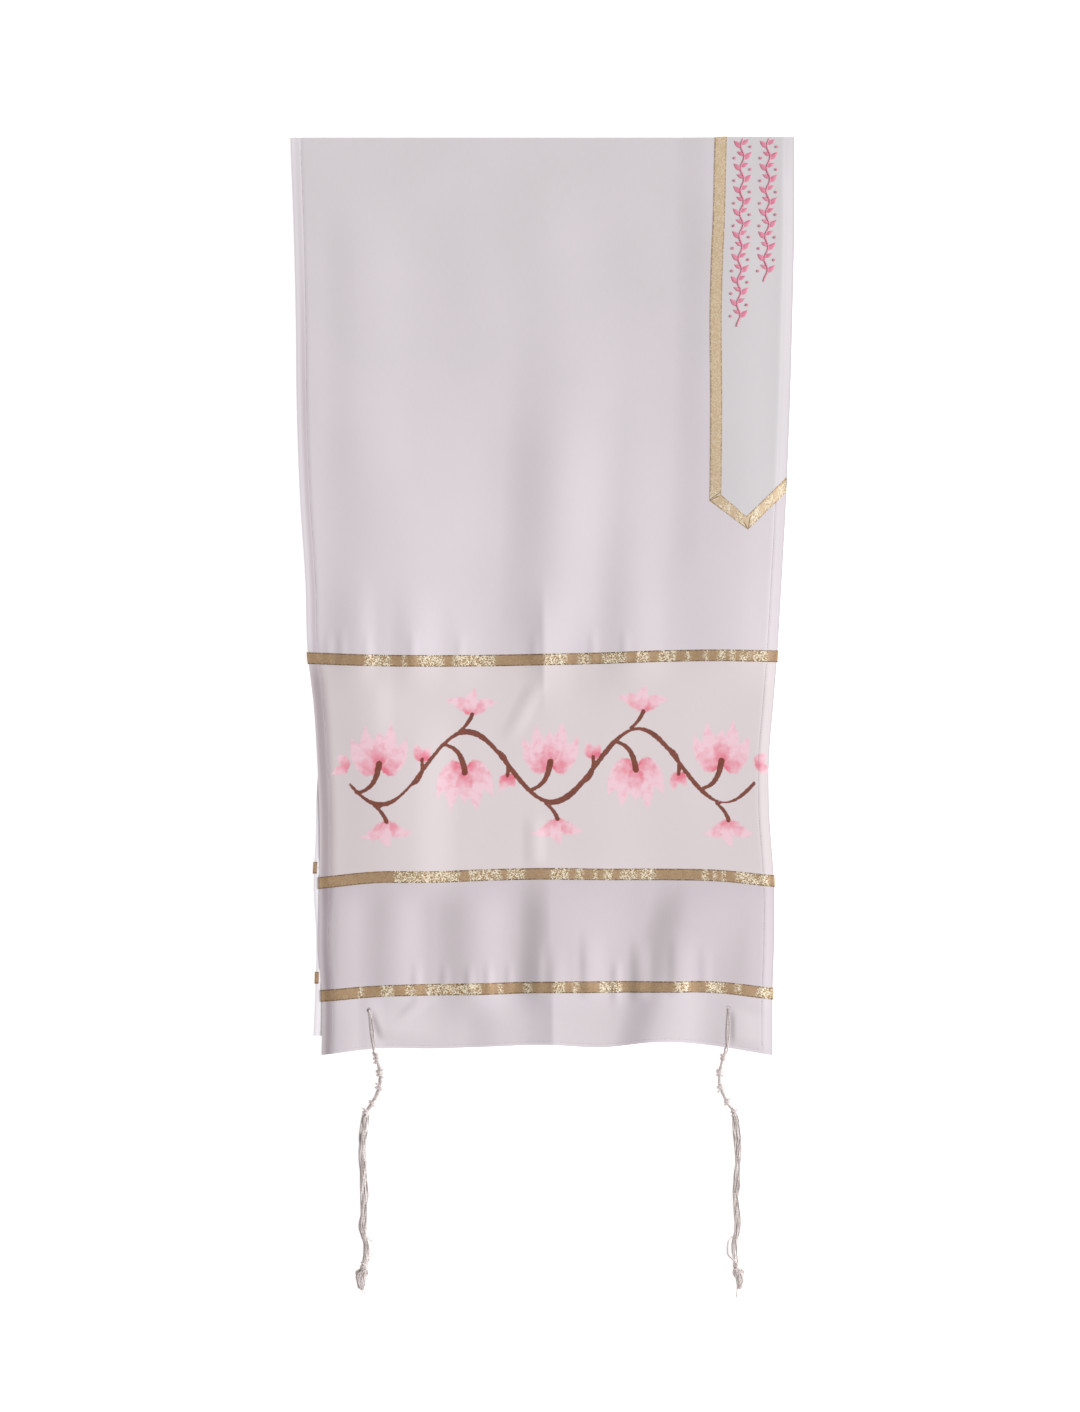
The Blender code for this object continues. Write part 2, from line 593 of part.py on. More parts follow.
def make_strands(origin, side, knot_z, strand_z, finish, operands, name):
    """Threads below the neck in two layers, side by side, through the end knot to loose ends."""
    vertices = []
    faces = []
    for index in range(STRAND_COUNT):
        offset = 2.0 * index / (STRAND_COUNT - 1) - 1.0
        layer = index % 2
        trim = STRAND_TRIM * ((index * 3) % STRAND_COUNT) / STRAND_COUNT
        path = []
        for station, row in enumerate(STRANDS):
            low = strand_z + layer * STRAND_LAYER
            high = knot_z + (layer - 0.5) * STRAND_LAYER
            z = low + (high - low) * row.lift
            inward = row.inward - offset * row.half_width
            if station == LOOSE_STATION and index == 0:
                inward += LOOSE_REACH / MM
            place = tassel_place(origin, side, inward, row.down, z)
            if station == len(STRANDS) - 1:
                place[1] += trim
            path.append(place)
        count = len(path)
        tube, tube_faces = sweep(path, [STRAND_RADIUS] * count, [STRAND_RADIUS] * count, 3)
        start = len(vertices)
        vertices += list(tube)
        faces += [[corner + start for corner in face] for face in tube_faces]
    return new_object(name, vertices, faces, finish, operands)


def make_end_knot(origin, side, knot_z, finish, operands, name):
    """Knot that gathers the strands near their ends."""
    middle = tassel_place(origin, side, END_KNOT.inward, END_KNOT.down, knot_z)
    path, widths, heights = zip(*knot_rings(END_KNOT, middle, np.array((0.0, -1.0, 0.0))))
    vertices, faces = sweep(path, widths, heights, 6)
    return new_object(name, vertices, faces, finish, operands)


def make_tassel(place, finish, collection, operands):
    """Corner tassel: knots, the loop through the eyelet, strands and end knot made one body."""
    eyelet = EYELETS[place]
    side = -1 if place.endswith("left") else 1
    on_front = place.startswith("front")
    knot_z = FRONT_KNOT_Z if on_front else BACK_KNOT_Z
    strand_z = FRONT_STRAND_Z if on_front else BACK_STRAND_Z
    origin = cloth_point(eyelet.across, eyelet.below, 0.0 if on_front else 1.0, 0.0)
    first_knot = tassel_place(origin, side, KNOTS[0].inward, KNOTS[0].down, knot_z)
    name = "tassel_" + place
    tassel = make_knots(origin, side, knot_z, finish, collection, name)
    pieces = (
        make_loop(eyelet, first_knot, finish, operands, name + "_loop"),
        make_strands(origin, side, knot_z, strand_z, finish, operands, name + "_strands"),
        make_end_knot(origin, side, knot_z, finish, operands, name + "_end_knot"),
    )
    for piece in pieces:
        piece.hide_render = True
        piece.display_type = "WIRE"
        join = tassel.modifiers.new(piece.name, "BOOLEAN")
        join.operation = "UNION"
        join.object = piece


def main():
    for old in list(bpy.data.objects):
        bpy.data.objects.remove(old)
    parts = bpy.data.collections.new(MODEL)
    cutters = bpy.data.collections.new("cutters")
    for collection in (parts, cutters):
        bpy.context.scene.collection.children.link(collection)

    body = material("body_cloth", (0.66, 0.62, 0.63), 0.75)
    decor = material("decor_cloth", (0.71, 0.65, 0.66), 0.8)
    band = material("neckband_cloth", (0.66, 0.63, 0.65), 0.75)
    gold = material("gold_ribbon", (0.50, 0.38, 0.24), 0.45, 0.4)
    thread = material("tassel_thread", (0.80, 0.72, 0.70), 0.8)

    make_body_panel(body, parts)
    make_half_panel("decor_panel_front", FRONT_ROWS, FRONT_UPPER + SEAM / 2,
                    FRONT_MIDDLE - SEAM / 2, COLUMNS, 1, decor, parts)
    make_half_panel("decor_panel_back", BACK_ROWS, BACK_UPPER + SEAM / 2,
                    BACK_MIDDLE - SEAM / 2, FLAT_BACK_COLUMNS, -1, decor, parts)
    end_front = make_half_panel("end_panel_front", FRONT_ROWS, FRONT_MIDDLE + SEAM / 2,
                                FRONT_HEM, COLUMNS, 1, body, parts)
    end_back = make_half_panel("end_panel_back", BACK_ROWS, BACK_MIDDLE + SEAM / 2,
                               BACK_HEM, END_BACK_COLUMNS, -1, body, parts)
    for place, eyelet in EYELETS.items():
        cut_eyelet(end_front if place.startswith("front") else end_back, place, eyelet, cutters)

    front_lines = {"upper": FRONT_UPPER, "middle": FRONT_MIDDLE, "lower": FRONT_LOWER}
    back_lines = {"upper": BACK_UPPER, "middle": BACK_MIDDLE, "lower": BACK_LOWER}
    for name, line in front_lines.items():
        make_cross_ribbon("ribbon_front_" + name, line, COLUMNS, 1, gold, parts)
    for name, line in back_lines.items():
        make_cross_ribbon("ribbon_back_" + name, line, FLAT_BACK_COLUMNS, -1, gold, parts)

    make_neckband(band, parts)
    make_neckband_ribbon(gold, parts)
    for place in EYELETS:
        make_tassel(place, thread, parts, cutters)


main()
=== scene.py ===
import math

import bpy
import numpy as np
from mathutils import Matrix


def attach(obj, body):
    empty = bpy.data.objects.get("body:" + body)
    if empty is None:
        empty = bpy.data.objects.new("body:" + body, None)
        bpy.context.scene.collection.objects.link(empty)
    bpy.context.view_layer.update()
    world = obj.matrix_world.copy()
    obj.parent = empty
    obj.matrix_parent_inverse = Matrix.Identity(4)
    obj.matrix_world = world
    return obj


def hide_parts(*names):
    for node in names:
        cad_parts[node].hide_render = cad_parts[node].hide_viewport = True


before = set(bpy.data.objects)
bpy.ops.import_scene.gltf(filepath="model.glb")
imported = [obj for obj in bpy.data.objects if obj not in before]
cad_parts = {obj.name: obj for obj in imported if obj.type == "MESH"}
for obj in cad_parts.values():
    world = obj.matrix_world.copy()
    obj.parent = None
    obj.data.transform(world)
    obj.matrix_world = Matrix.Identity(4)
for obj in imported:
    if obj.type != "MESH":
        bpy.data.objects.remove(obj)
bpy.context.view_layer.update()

# ---------------------------------------------------------------- Centre cloth
# One length of satin-faced polyester, hemmed along both sides and folded in half over the top.
# It runs from the front's upper ribbon over the fold to the back's, and is stitched to the panels.

MM = 0.001
CLOTH = 1.2 * MM
FIELD_THICKNESS = 0.55 * MM
HEM_THICKNESS = 1.15 * MM
HEM_WIDTH = 11.5
FOOT_HEM_WIDTH = 3.5
FRONT_REST = 2.8 * MM
FRONT_REST_ON_BAND = 4.3 * MM
FOLD_BULGE = 1.0 * MM
TRIM = 0.5 * MM
UNDER_TRIM = 0.06 * MM
TRIM_STEP = TRIM + UNDER_TRIM
RIBBON_WIDTH = 12.7 * MM
RIBBON_CLOTH = 0.36 * MM
FOLD_Y = (1267.5 - 1.0 - 1.2 - 2.6) / 2 * MM
# The cloth's usual width in mm, for UVs and for distances that needn't follow its edges
USUAL_WIDTH = 530
UV_WIDTH = USUAL_WIDTH * MM
# Steps of the bend over the fold, and the angle from which an edge shades as a sharp one
FOLD_STEPS = 8
SHARP_ANGLE = math.radians(50)

# Cross lines of the front: distance below the fold and how far each sinks at nine even stations
FRONT_LEVELS = np.array((0.0, 571.0, 810.0, 934.0, 998.0)) * MM
FRONT_WAVES = np.array((
    (0.0, 0.0, 0.0, 0.0, 0.0, 0.0, 0.0, 0.0, 0.0),
    (-0.6, 1.9, 2.7, 2.3, 1.2, -0.3, -2.6, -3.6, -2.6),
    (7.9, 1.3, 1.0, -1.3, -2.6, -1.8, -1.7, -0.5, 5.7),
    (7.8, 2.6, 0.8, -0.2, -2.1, -2.3, -2.3, -2.0, 5.1),
    (9.1, 1.4, 1.7, -0.5, -2.7, 0.3, -6.3, -1.3, 9.1),
)) * MM
FRONT_UPPER, FRONT_MIDDLE, FRONT_LOWER, FRONT_HEM = FRONT_LEVELS[1:]
BACK_UPPER, BACK_MIDDLE, BACK_LOWER, BACK_HEM = np.array((556, 801, 922, 986)) * MM

# Side edges in mm: distance below the fold, left edge, right edge
FRONT_EDGES = np.array((
    (0, -277, 277), (110, -273, 277), (200, -271, 275), (290, -270, 272.5), (400, -266, 268),
    (485, -260.5, 263.5), (570, -257.5, 258.5), (620, -251.5, 254.5), (680, -247.5, 249.5),
    (730, -245, 249.5), (815, -245, 255), (880, -246, 255), (945, -242, 253), (1000, -243, 253),
)) * MM
BACK_EDGES = np.array((
    (0, -277, 277), (110, -272, 275), (290, -268, 270), (400, -263.5, 265.5), (570, -253, 255),
    (680, -246, 246), (730, -248.5, 247), (775, -249.5, 250), (815, -251.5, 252),
    (880, -248.5, 252), (945, -250, 250), (990, -252.0, 249.5),
)) * MM

# Soft ridges of the front, in mm: x_top top x_bottom bottom left right height crease rise fade
RIDGES = (
    (-202, 30, -198, 430, 42, 60, 1.7, 0, 120, 120),
    (-158, 230, -160, 630, 96, 104, 4.4, 0, 220, 70),
    (-206, 300, -206, 620, 40, 46, 1.0, 0, 190, 60),
    (-203, 455, -203, 612, 42, 24, 2.3, 0, 90, 50),
    (-142, 470, -142, 620, 26, 34, 2.2, 0, 90, 60),
    (-91, 500, -91, 610, 18, 31, 0.6, 0, 60, 50),
    (34, 110, 6, 610, 64, 68, 5.4, 0, 300, 100),
    (1, 470, 2, 640, 30, 40, 3.6, 1, 90, 70),
    (101, 310, 99, 620, 44, 43, 2.3, 0, 230, 60),
    (204, 380, 206, 630, 76, 52, 0.9, 0, 140, 60),
    (214, 40, 216, 620, 70, 52, 2.1, 0, 120, 60),
    (110, 345, 108, 640, 80, 160, 2.2, 0, 120, 50),
    (-186, 585, -186, 690, 50, 26, 1.4, 0, 30, 60),
    (-2, 590, -41, 668, 16, 16, 1.2, 0, 20, 30),
    (-140, 590, -145, 850, 100, 52, 4.2, 0, 90, 45),
    (-9, 735, -8, 808, 15, 15, 1.2, 0, 30, 20),
    (-221, 790, -225, 1100, 21, 44, 2.7, 0, 60, 90),
    (-163, 800, -163, 965, 42, 39, 4.1, 0, 55, 45),
    (220, 790, 222, 960, 58, 36, 1.9, 0, 60, 40),
    (-75, 805, -73, 985, 44, 45, 4.8, 0, 55, 50),
    (-50, 930, -50, 1100, 36, 40, 2.0, 0, 40, 60),
    (8, 780, 8, 975, 36, 96, 7.4, 0.15, 85, 60),
    (11, 905, 12, 1100, 62, 70, 5.0, 1, 60, 60),
    (172, 800, 95, 1100, 44, 70, 6.4, 0, 65, 60),
    (-205, 945, -205, 1100, 38, 95, 1.2, 0, 35, 60),
    (-190, 928, -184, 1100, 15, 17, 1.0, 0, 20, 60),
    (206, 922, 205, 1100, 42, 50, 1.9, 0, 26, 60),
    (126, 925, 122, 1100, 56, 60, 1.6, 0, 26, 60),
    (-185, 951, -170, 993, 9, 66, 3.0, 0, 15, 16),
    (212, 953, 212, 998, 6.5, 40, 2.1, 0, 14, 16),
    (-126, 936, -160, 972, 12, 20, 1.1, 0, 14, 16),
)
# Puckers that the ribbons' stitching draws up, in the same columns
PUCKERS = (
    (-138, 895, -138, 950, 8, 9, 0.9, 0, 28, 18),
    (-107, 898, -107, 946, 7, 8, 0.8, 0, 26, 14),
    (-80, 900, -80, 944, 7, 8, 0.9, 0, 24, 12),
    (-59, 896, -59, 946, 7, 8, 0.9, 0, 26, 14),
    (-36, 898, -36, 944, 7, 7, 0.7, 0, 24, 12),
    (50, 862, 50, 952, 11, 24, 1.6, 0, 46, 18),
    (82, 898, 81, 962, 8, 8, 1.1, 0, 24, 26),
    (107, 872, 106, 958, 13, 16, 2.2, 0, 40, 24),
    (149, 866, 147, 950, 12, 24, 1.5, 0, 44, 18),
    (-4, 868, -6, 948, 28, 10, 1.2, 0, 50, 16),
    (14, 880, 14, 946, 9, 16, 0.9, 0, 36, 14),
    (179, 880, 179, 944, 9, 10, 0.6, 0, 36, 12),
    (-235, 535, -235, 580, 7, 7, 0.6, 0, 24, 10),
    (-220, 530, -220, 580, 7, 8, 0.6, 0, 26, 10),
    (-192, 532, -192, 580, 8, 8, 0.6, 0, 26, 10),
    (-142, 530, -142, 582, 8, 9, 0.7, 0, 28, 12),
    (-90, 534, -90, 580, 8, 8, 0.6, 0, 26, 10),
    (-8, 534, -8, 580, 8, 8, 0.6, 0, 26, 10),
    (56, 532, 56, 582, 8, 8, 0.7, 0, 26, 12),
    (91, 532, 91, 580, 8, 8, 0.6, 0, 26, 10),
)


def smooth_between(stations, values, at):
    """Smooth curve through a table: cubic pieces with the table's own slopes at its stations."""
    stations = np.asarray(stations, float)
    values = np.asarray(values, float)
    slopes = np.gradient(values, stations)
    at = np.clip(at, stations[0], stations[-1])
    right = np.clip(np.searchsorted(stations, at, side="right"), 1, len(stations) - 1)
    left = right - 1
    width = stations[right] - stations[left]
    t = (at - stations[left]) / width
    start = (2 * t**3 - 3 * t**2 + 1) * values[left] + (t**3 - 2 * t**2 + t) * width * slopes[left]
    end = (3 * t**2 - 2 * t**3) * values[right] + (t**3 - t**2) * width * slopes[right]
    return start + end


def ease(value):
    """Soft step: 3t² - 2t³ of the value held between 0 and 1."""
    value = np.clip(value, 0.0, 1.0)
    return value * value * (3.0 - 2.0 * value)


def side_edges(below):
    """X of the left and right edge at a distance below the fold, from its half's table."""
    depth = np.abs(below)
    front, back = ([smooth_between(edges[:, 0], edges[:, side], depth) for side in (1, 2)]
                   for edges in (FRONT_EDGES, BACK_EDGES))
    on_front = below >= 0.0
    return np.where(on_front, front[0], back[0]), np.where(on_front, front[1], back[1])


def cloth_width(below):
    """Right edge less left edge at a distance below the fold."""
    left, right = side_edges(below)
    return right - left


def cloth_x(across, below):
    """X of a place: the left edge plus its share of the width."""
    left, right = side_edges(below)
    return left + (right - left) * across


def drop(across, below):
    """Distance under the fold: below, plus the waves of the two nearest lines shared out."""
    stations = np.linspace(0.0, 1.0, FRONT_WAVES.shape[1])
    waves = np.stack([smooth_between(stations, line, across) for line in FRONT_WAVES])
    lower = np.clip(np.searchsorted(FRONT_LEVELS, below, side="right"), 1, len(FRONT_LEVELS) - 1)
    upper = lower - 1
    share = np.clip(
        (below - FRONT_LEVELS[upper]) / (FRONT_LEVELS[lower] - FRONT_LEVELS[upper]), 0.0, 1.0)
    pick = np.indices(lower.shape)
    wave = waves[(upper, *pick)] * (1.0 - share) + waves[(lower, *pick)] * share
    return np.where(below >= 0.0, below + wave, -below)


def ridge_height(table, x, below):
    """Sum of ridges: a cosine or pressed crest across, times a soft rise and fade along."""
    x, depth = x / MM, below / MM
    total = np.zeros_like(x)
    for x_top, top, x_bottom, bottom, left, right, height, crease, rise, fade in table:
        crest = x_top + (x_bottom - x_top) * (depth - top) / (bottom - top)
        off = np.clip(np.abs(x - crest) / np.where(x < crest, left, right), 0.0, 1.0)
        section = (0.5 + 0.5 * np.cos(np.pi * off)) * (1 - crease) + (1.0 - off) ** 2 * crease
        total += height * section * ease((depth - top) / rise) * ease((bottom - depth) / fade)
    return total * MM


def cloth_waves(x, below):
    """Slight unevenness of cloth that has been folded away: three slow sine waves crossed."""
    x, depth = x / MM, below / MM
    waves = 0.34 * np.sin(x / 29 + depth / 170 + 1.3) * np.sin(depth / 118 + 0.4)
    waves += 0.22 * np.sin(x / 15 - depth / 96 + 2.1) * np.sin(depth / 75 + x / 140)
    waves += 0.30 * np.sin(x / 47 + depth / 52)
    return waves * ease(depth / 90) * MM


def edge_fall(across, below):
    """The front's side hems: each slopes down to its edge over about its own width."""
    from_left = across * cloth_width(below) / MM
    from_right = (1.0 - across) * cloth_width(below) / MM
    lower = ease((below / MM - 560) / 40)
    fall_left = (0.35 + 0.95 * lower) * (1 - ease((from_left - 2.0 * lower) / 9.5))
    fall_right = (1.15 + 0.3 * lower - 0.45 * ease((below / MM - 935) / 30)) * (
        1 - ease(from_right / (16.0 - 4.0 * lower)))
    return (fall_left + fall_right) * ease(below / MM / 60) * MM


def front_inner(across, below):
    """Height of the front's inner face: its rest, ridges, puckers, waves and sloping hems."""
    over_band = ease((across - 0.76) / 0.07) * ease((500 * MM - below) / (60 * MM))
    x = cloth_x(across, np.maximum(below, 0.0))
    rest = FRONT_REST + (FRONT_REST_ON_BAND - FRONT_REST) * over_band
    return (rest + ridge_height(RIDGES + PUCKERS, x, below) + cloth_waves(x, below)
            - edge_fall(across, below))


BAND_LEFT = 0.8424
BAND_RIBBON_RIGHT = 0.8660
BAND_TIP = 0.9240
BAND_TIP_INNER = 0.9195
# Distances below the fold of the pointed end's ribbon, outer and inner edge, in mm:
# left corner, tip, right edge
FRONT_POINT = ((400.0, 432.0, 390.0), (394.0, 417.5, 373.5))
BACK_POINT = ((392.0, 424.0, 382.0), (386.0, 409.5, 365.5))
THREAD_LIFT = 1.6 * MM
SOFT_STEP = 2.5 * MM


def point_line(across, point, inner=False):
    """Distance below the fold of the pointed end's edge: two straight lines that meet at a tip."""
    stations = ((BAND_RIBBON_RIGHT, BAND_TIP_INNER, 1.0) if inner
                else (BAND_LEFT, BAND_TIP, 1.0))
    return np.interp(across, stations, point[inner]) * MM


def back_inner(across, below):
    """Height of the back's inner face: a soft step up over each trimming under it."""
    beside = ease(((across - BAND_LEFT) * UV_WIDTH + SOFT_STEP) / SOFT_STEP)
    on_band = beside * ease((point_line(across, BACK_POINT) + SOFT_STEP - below) / SOFT_STEP)
    on_run = ease(((BAND_RIBBON_RIGHT - across) * UV_WIDTH + SOFT_STEP) / SOFT_STEP)
    on_end = ease((below - point_line(across, BACK_POINT, True) + SOFT_STEP) / SOFT_STEP)
    total = TRIM_STEP * on_band * (1.0 + np.maximum(on_run, on_end))
    for line in (BACK_UPPER, BACK_MIDDLE, BACK_LOWER):
        near = RIBBON_WIDTH / 2 + SOFT_STEP - np.abs(below - line)
        total = total + TRIM_STEP * ease(near / SOFT_STEP)
    for middle in (0.1204, 0.9078):
        near = ease((0.033 - np.abs(across - middle)) / 0.014)
        total = total + THREAD_LIFT * near * ease((below - 942 * MM) / (9 * MM))
    return CLOTH + total


def cloth_point(across, below, turn, out, beyond=0.0):
    """World place on the cloth.

    X is even between the side edges, plus any distance beyond them. Y is the fold less the
    drop. Z is the half's inner height plus the distance out, and on the way round the fold
    both follow a half ellipse with the turn.
    """
    across, below, turn, out, beyond = np.broadcast_arrays(across, below, turn, out, beyond)
    front = front_inner(across, np.maximum(below, 0.0))
    back = back_inner(across, np.maximum(-below, 0.0))
    x = cloth_x(across, below) + beyond
    y = FOLD_Y - drop(across, below) + (FOLD_BULGE + out) * np.sin(np.pi * turn)
    z = (front + back) / 2 + ((front - back) / 2 + out) * np.cos(np.pi * turn)
    return np.stack((x, y, z), axis=-1)


def new_piece(name, points, faces, uv, finish, values=None):
    """Mesh object at the origin from arrays of points, faces of any width, UVs and attributes."""
    mesh = bpy.data.meshes.new(name)
    corners = np.concatenate([np.asarray(group).ravel() for group in faces]).astype(np.int32)
    widths = np.concatenate([np.full(len(group), np.shape(group)[1]) for group in faces])
    starts = np.concatenate(((0,), np.cumsum(widths)[:-1])).astype(np.int32)
    mesh.vertices.add(len(points))
    mesh.vertices.foreach_set("co", np.asarray(points, np.float32).ravel())
    mesh.loops.add(len(corners))
    mesh.loops.foreach_set("vertex_index", corners)
    mesh.polygons.add(len(widths))
    mesh.polygons.foreach_set("loop_start", starts)
    mesh.update(calc_edges=True)
    mesh.uv_layers.new(name="UVMap").data.foreach_set(
        "uv", np.asarray(uv, np.float32)[corners].ravel())
    for label, value in (values or {}).items():
        mesh.attributes.new(label, "FLOAT", "POINT").data.foreach_set(
            "value", np.asarray(value, np.float32).ravel())
    mesh.materials.append(finish)
    mesh.shade_smooth()
    mesh.set_sharp_from_angle(angle=SHARP_ANGLE)
    piece = bpy.data.objects.new(name, mesh)
    bpy.context.scene.collection.objects.link(piece)
    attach(piece, "root")
    return piece


def wall_faces(keep):
    """Quads of a closed two-layer wall over a grid of cells: outer, inner, and every open side."""
    rows, columns = keep.shape[0] + 1, keep.shape[1] + 1
    place = np.arange(rows * columns).reshape(rows, columns)
    corners = np.stack((place[:-1, :-1], place[:-1, 1:], place[1:, 1:], place[1:, :-1]), axis=-1)
    outer = corners[keep]
    inner = outer[:, ::-1] + rows * columns
    padded = np.pad(keep, 1)
    neighbours = (padded[:-2, 1:-1], padded[1:-1, 2:], padded[2:, 1:-1], padded[1:-1, :-2])
    sides = []
    for side, neighbour in enumerate(neighbours):
        open_side = corners[keep & ~neighbour]
        here, after = open_side[:, side], open_side[:, (side + 1) % 4]
        sides.append(np.stack((after, here, here + rows * columns, after + rows * columns), -1))
    return [outer, inner, *sides]


def hem_field(across, below, hem_at=None):
    """1 on a hem and 0 on the single cloth, and the distance from the nearest hemmed edge."""
    edge = np.minimum(across, 1.0 - across) * cloth_width(below) / MM
    if hem_at is not None:
        edge = np.minimum(edge, (hem_at - np.abs(below)) / MM + HEM_WIDTH - FOOT_HEM_WIDTH)
    return 1.0 - ease((edge - HEM_WIDTH) / 1.2), edge


def cloth_wall(name, columns, below, turn, finish, hem_at=None, keep=None, warp=None, extra=None):
    """Shell of cloth over columns and rows.

    The outer face keeps the solid's distance out, less a roll at the edge and the groove that
    the hem's stitching pulls in. The inner face is a single cloth or a hem's thickness under it.
    """
    across, below, turn = np.broadcast_arrays(columns[None, :], below, turn)
    if warp is not None:
        across, below = warp(across, below)
    hem, edge = hem_field(across, below, hem_at)
    roll = 0.35 * (1.0 - ease(edge / 2.2)) * MM
    groove = 0.24 * np.exp(-((edge - HEM_WIDTH) / 0.9) ** 2) * MM
    inner = CLOTH - FIELD_THICKNESS - (HEM_THICKNESS - FIELD_THICKNESS) * hem + roll
    points = np.concatenate([cloth_point(across, below, turn, out).reshape(-1, 3)
                             for out in (CLOTH - roll - groove, inner)])
    uv = np.stack((across * UV_WIDTH, -below - turn * 5 * MM), axis=-1).reshape(-1, 2)
    from_left = across * cloth_width(below) / MM
    from_right = (1.0 - across) * cloth_width(below) / MM
    front = turn < 0.5
    depth = below / MM
    lower = ease((depth - 545) / 60)
    foot = ease((depth - 800) / 60)
    # Painted shade, carried to the finish by the rolled attribute on the front: the left hem where
    # it rolls away from the light, a wider dimming over the left 80 mm above the end panel, a dark
    # line 9 mm in from the left edge higher up, the end panel (most between its middle and lower
    # ribbon), and a thin dark line along the right edge
    rolled = front * (
        lower * ease(from_left / (3.5 + 3.5 * foot)) * (
            (0.83 - 0.11 * foot - 0.12 * np.exp(-((depth - 850) / 40) ** 2))
            * ease((21.5 - 6.5 * foot - from_left) / (12 - 7 * foot))
            + 0.22 * (1 - foot) * ease((80.0 - from_left) / 60))
        + 0.68 * (1 - lower) * ease((depth - 60) / 260) * np.exp(-((from_left - 9.2) / 3.0) ** 2)
        + ease((depth - 811) / 3) * (0.08 + 0.27 * ease((945 - depth) / 24)
                                     + 0.05 * ease((depth - 935) / 30))
        + 0.65 * (1 - ease((from_right - 0.8) / 1.4)))
    # Painted highlight: the outer strip of the front's left hem above its lower panels is lightened
    # where its rolled edge catches the light
    hem = hem + 3.6 * front * (1 - lower) * (1 - ease((from_left - 1.0) / 6.5))
    values = {"hem": np.tile(hem.ravel(), 2), "rolled": np.tile(rolled.ravel(), 2),
              "reverse": np.repeat((0.0, 1.0), hem.size)}
    for label, value in (extra(across, below) if extra else {}).items():
        values[label] = np.tile(value.ravel(), 2)
    kept = np.ones(np.array(across.shape) - 1, bool) if keep is None else keep(across, below)
    return new_piece(name, points, wall_faces(kept), np.tile(uv, (2, 1)), finish, values)


def columns_every(step):
    """Places across: close together on the hems, then one step apart in mm."""
    hem = np.array((0, 0.6, 1.3, 2.2, 3.6, 5.2, 7.0, 8.8, 10.2, 11.0, 11.8, 12.8, 14.4))
    hem = hem / USUAL_WIDTH
    steps = int(round((1 - 2 * hem[-1]) * USUAL_WIDTH / step))
    field = np.linspace(hem[-1], 1 - hem[-1], steps + 1)
    return np.concatenate((hem, field[1:-1], 1 - hem[::-1]))


def rows_between(*stops):
    """Rows through stops of (distance, step to the next stop), in mm."""
    parts = [np.linspace(start, end, max(int(round(abs(end - start) / step)), 1), endpoint=False)
             for (start, step), (end, _) in zip(stops, stops[1:])]
    return np.concatenate((*parts, (stops[-1][0],))) * MM


def over_fold(front_rows, back_rows):
    """Rows and turns from the front's lowest row up over the fold and down the back."""
    bend = np.linspace(0.0, 1.0, FOLD_STEPS + 1)
    below = np.concatenate((front_rows[::-1], np.zeros(FOLD_STEPS - 1), -back_rows))
    turn = np.concatenate((np.zeros(len(front_rows)), bend[1:-1], np.ones(len(back_rows))))
    return below[:, None], turn[:, None]


def linear(code):
    """Linear colour of an sRGB hex value."""
    parts = [int(code[at:at + 2], 16) / 255 for at in (1, 3, 5)]
    return (*[p / 12.92 if p <= 0.04045 else ((p + 0.055) / 1.055) ** 2.4 for p in parts], 1.0)


def node(tree, kind, inputs=None, **settings):
    """Adds a node with its settings, and sets or links its inputs."""
    made = tree.nodes.new(kind)
    for name, value in settings.items():
        setattr(made, name, value)
    for key, value in (inputs or {}).items():
        if isinstance(value, bpy.types.NodeSocket):
            tree.links.new(value, made.inputs[key])
        else:
            made.inputs[key].default_value = value
    return made


def new_material(name, values):
    """Material with these values on its shader, then its node tree and that shader."""
    material = bpy.data.materials.new(name)
    material.use_nodes = True
    shader = material.node_tree.nodes["Principled BSDF"]
    for key, value in values.items():
        shader.inputs[key].default_value = value
    return material, material.node_tree, shader


def coordinates(tree, space):
    """Socket with the piece's own UV or its Object coordinates."""
    return node(tree, "ShaderNodeTexCoord").outputs[space]


def maths(tree, operation, *terms, clamp=False):
    """Socket with the result of an operation on its terms."""
    return node(tree, "ShaderNodeMath", dict(enumerate(terms)), operation=operation,
                use_clamp=clamp).outputs[0]


def mixed(tree, share, first, second):
    """Socket with a colour between two, each of them a socket or an sRGB hex value."""
    first, second = (linear(c) if isinstance(c, str) else c for c in (first, second))
    return node(tree, "ShaderNodeMix", {0: share, 6: first, 7: second},
                data_type="RGBA").outputs[2]


def ranged(tree, value, low, high, to_low=0.0, to_high=1.0, **settings):
    """Socket with a value carried from one range to another and held inside it."""
    return node(tree, "ShaderNodeMapRange",
                {"Value": value, "From Min": low, "From Max": high, "To Min": to_low,
                 "To Max": to_high}, **settings).outputs[0]


def noise(tree, vector, scale, detail=2.0, **values):
    """Socket with the grey value of a noise."""
    return node(tree, "ShaderNodeTexNoise",
                {"Vector": vector, "Scale": scale, "Detail": detail, **values}).outputs["Fac"]


def stretched(tree, vector, share):
    """Socket with coordinates that stretch a pattern along Y."""
    return node(tree, "ShaderNodeMapping",
                {"Vector": vector, "Scale": (1.0, share, 1.0)}).outputs[0]


def given(tree, name):
    """Socket with one of the piece's own attributes."""
    return node(tree, "ShaderNodeAttribute", attribute_name=name).outputs["Fac"]


def blend(tree, share, first, second):
    """Socket with a number between two."""
    return node(tree, "ShaderNodeMix", {0: share, 2: first, 3: second},
                data_type="FLOAT").outputs[0]


def dress(tree, shader, colour, height, strength, depth):
    """Links a base colour and a bump of this depth in mm."""
    bump = node(tree, "ShaderNodeBump",
                {"Height": height, "Strength": strength, "Distance": depth * MM})
    tree.links.new(colour, shader.inputs["Base Color"])
    tree.links.new(bump.outputs[0], shader.inputs["Normal"])


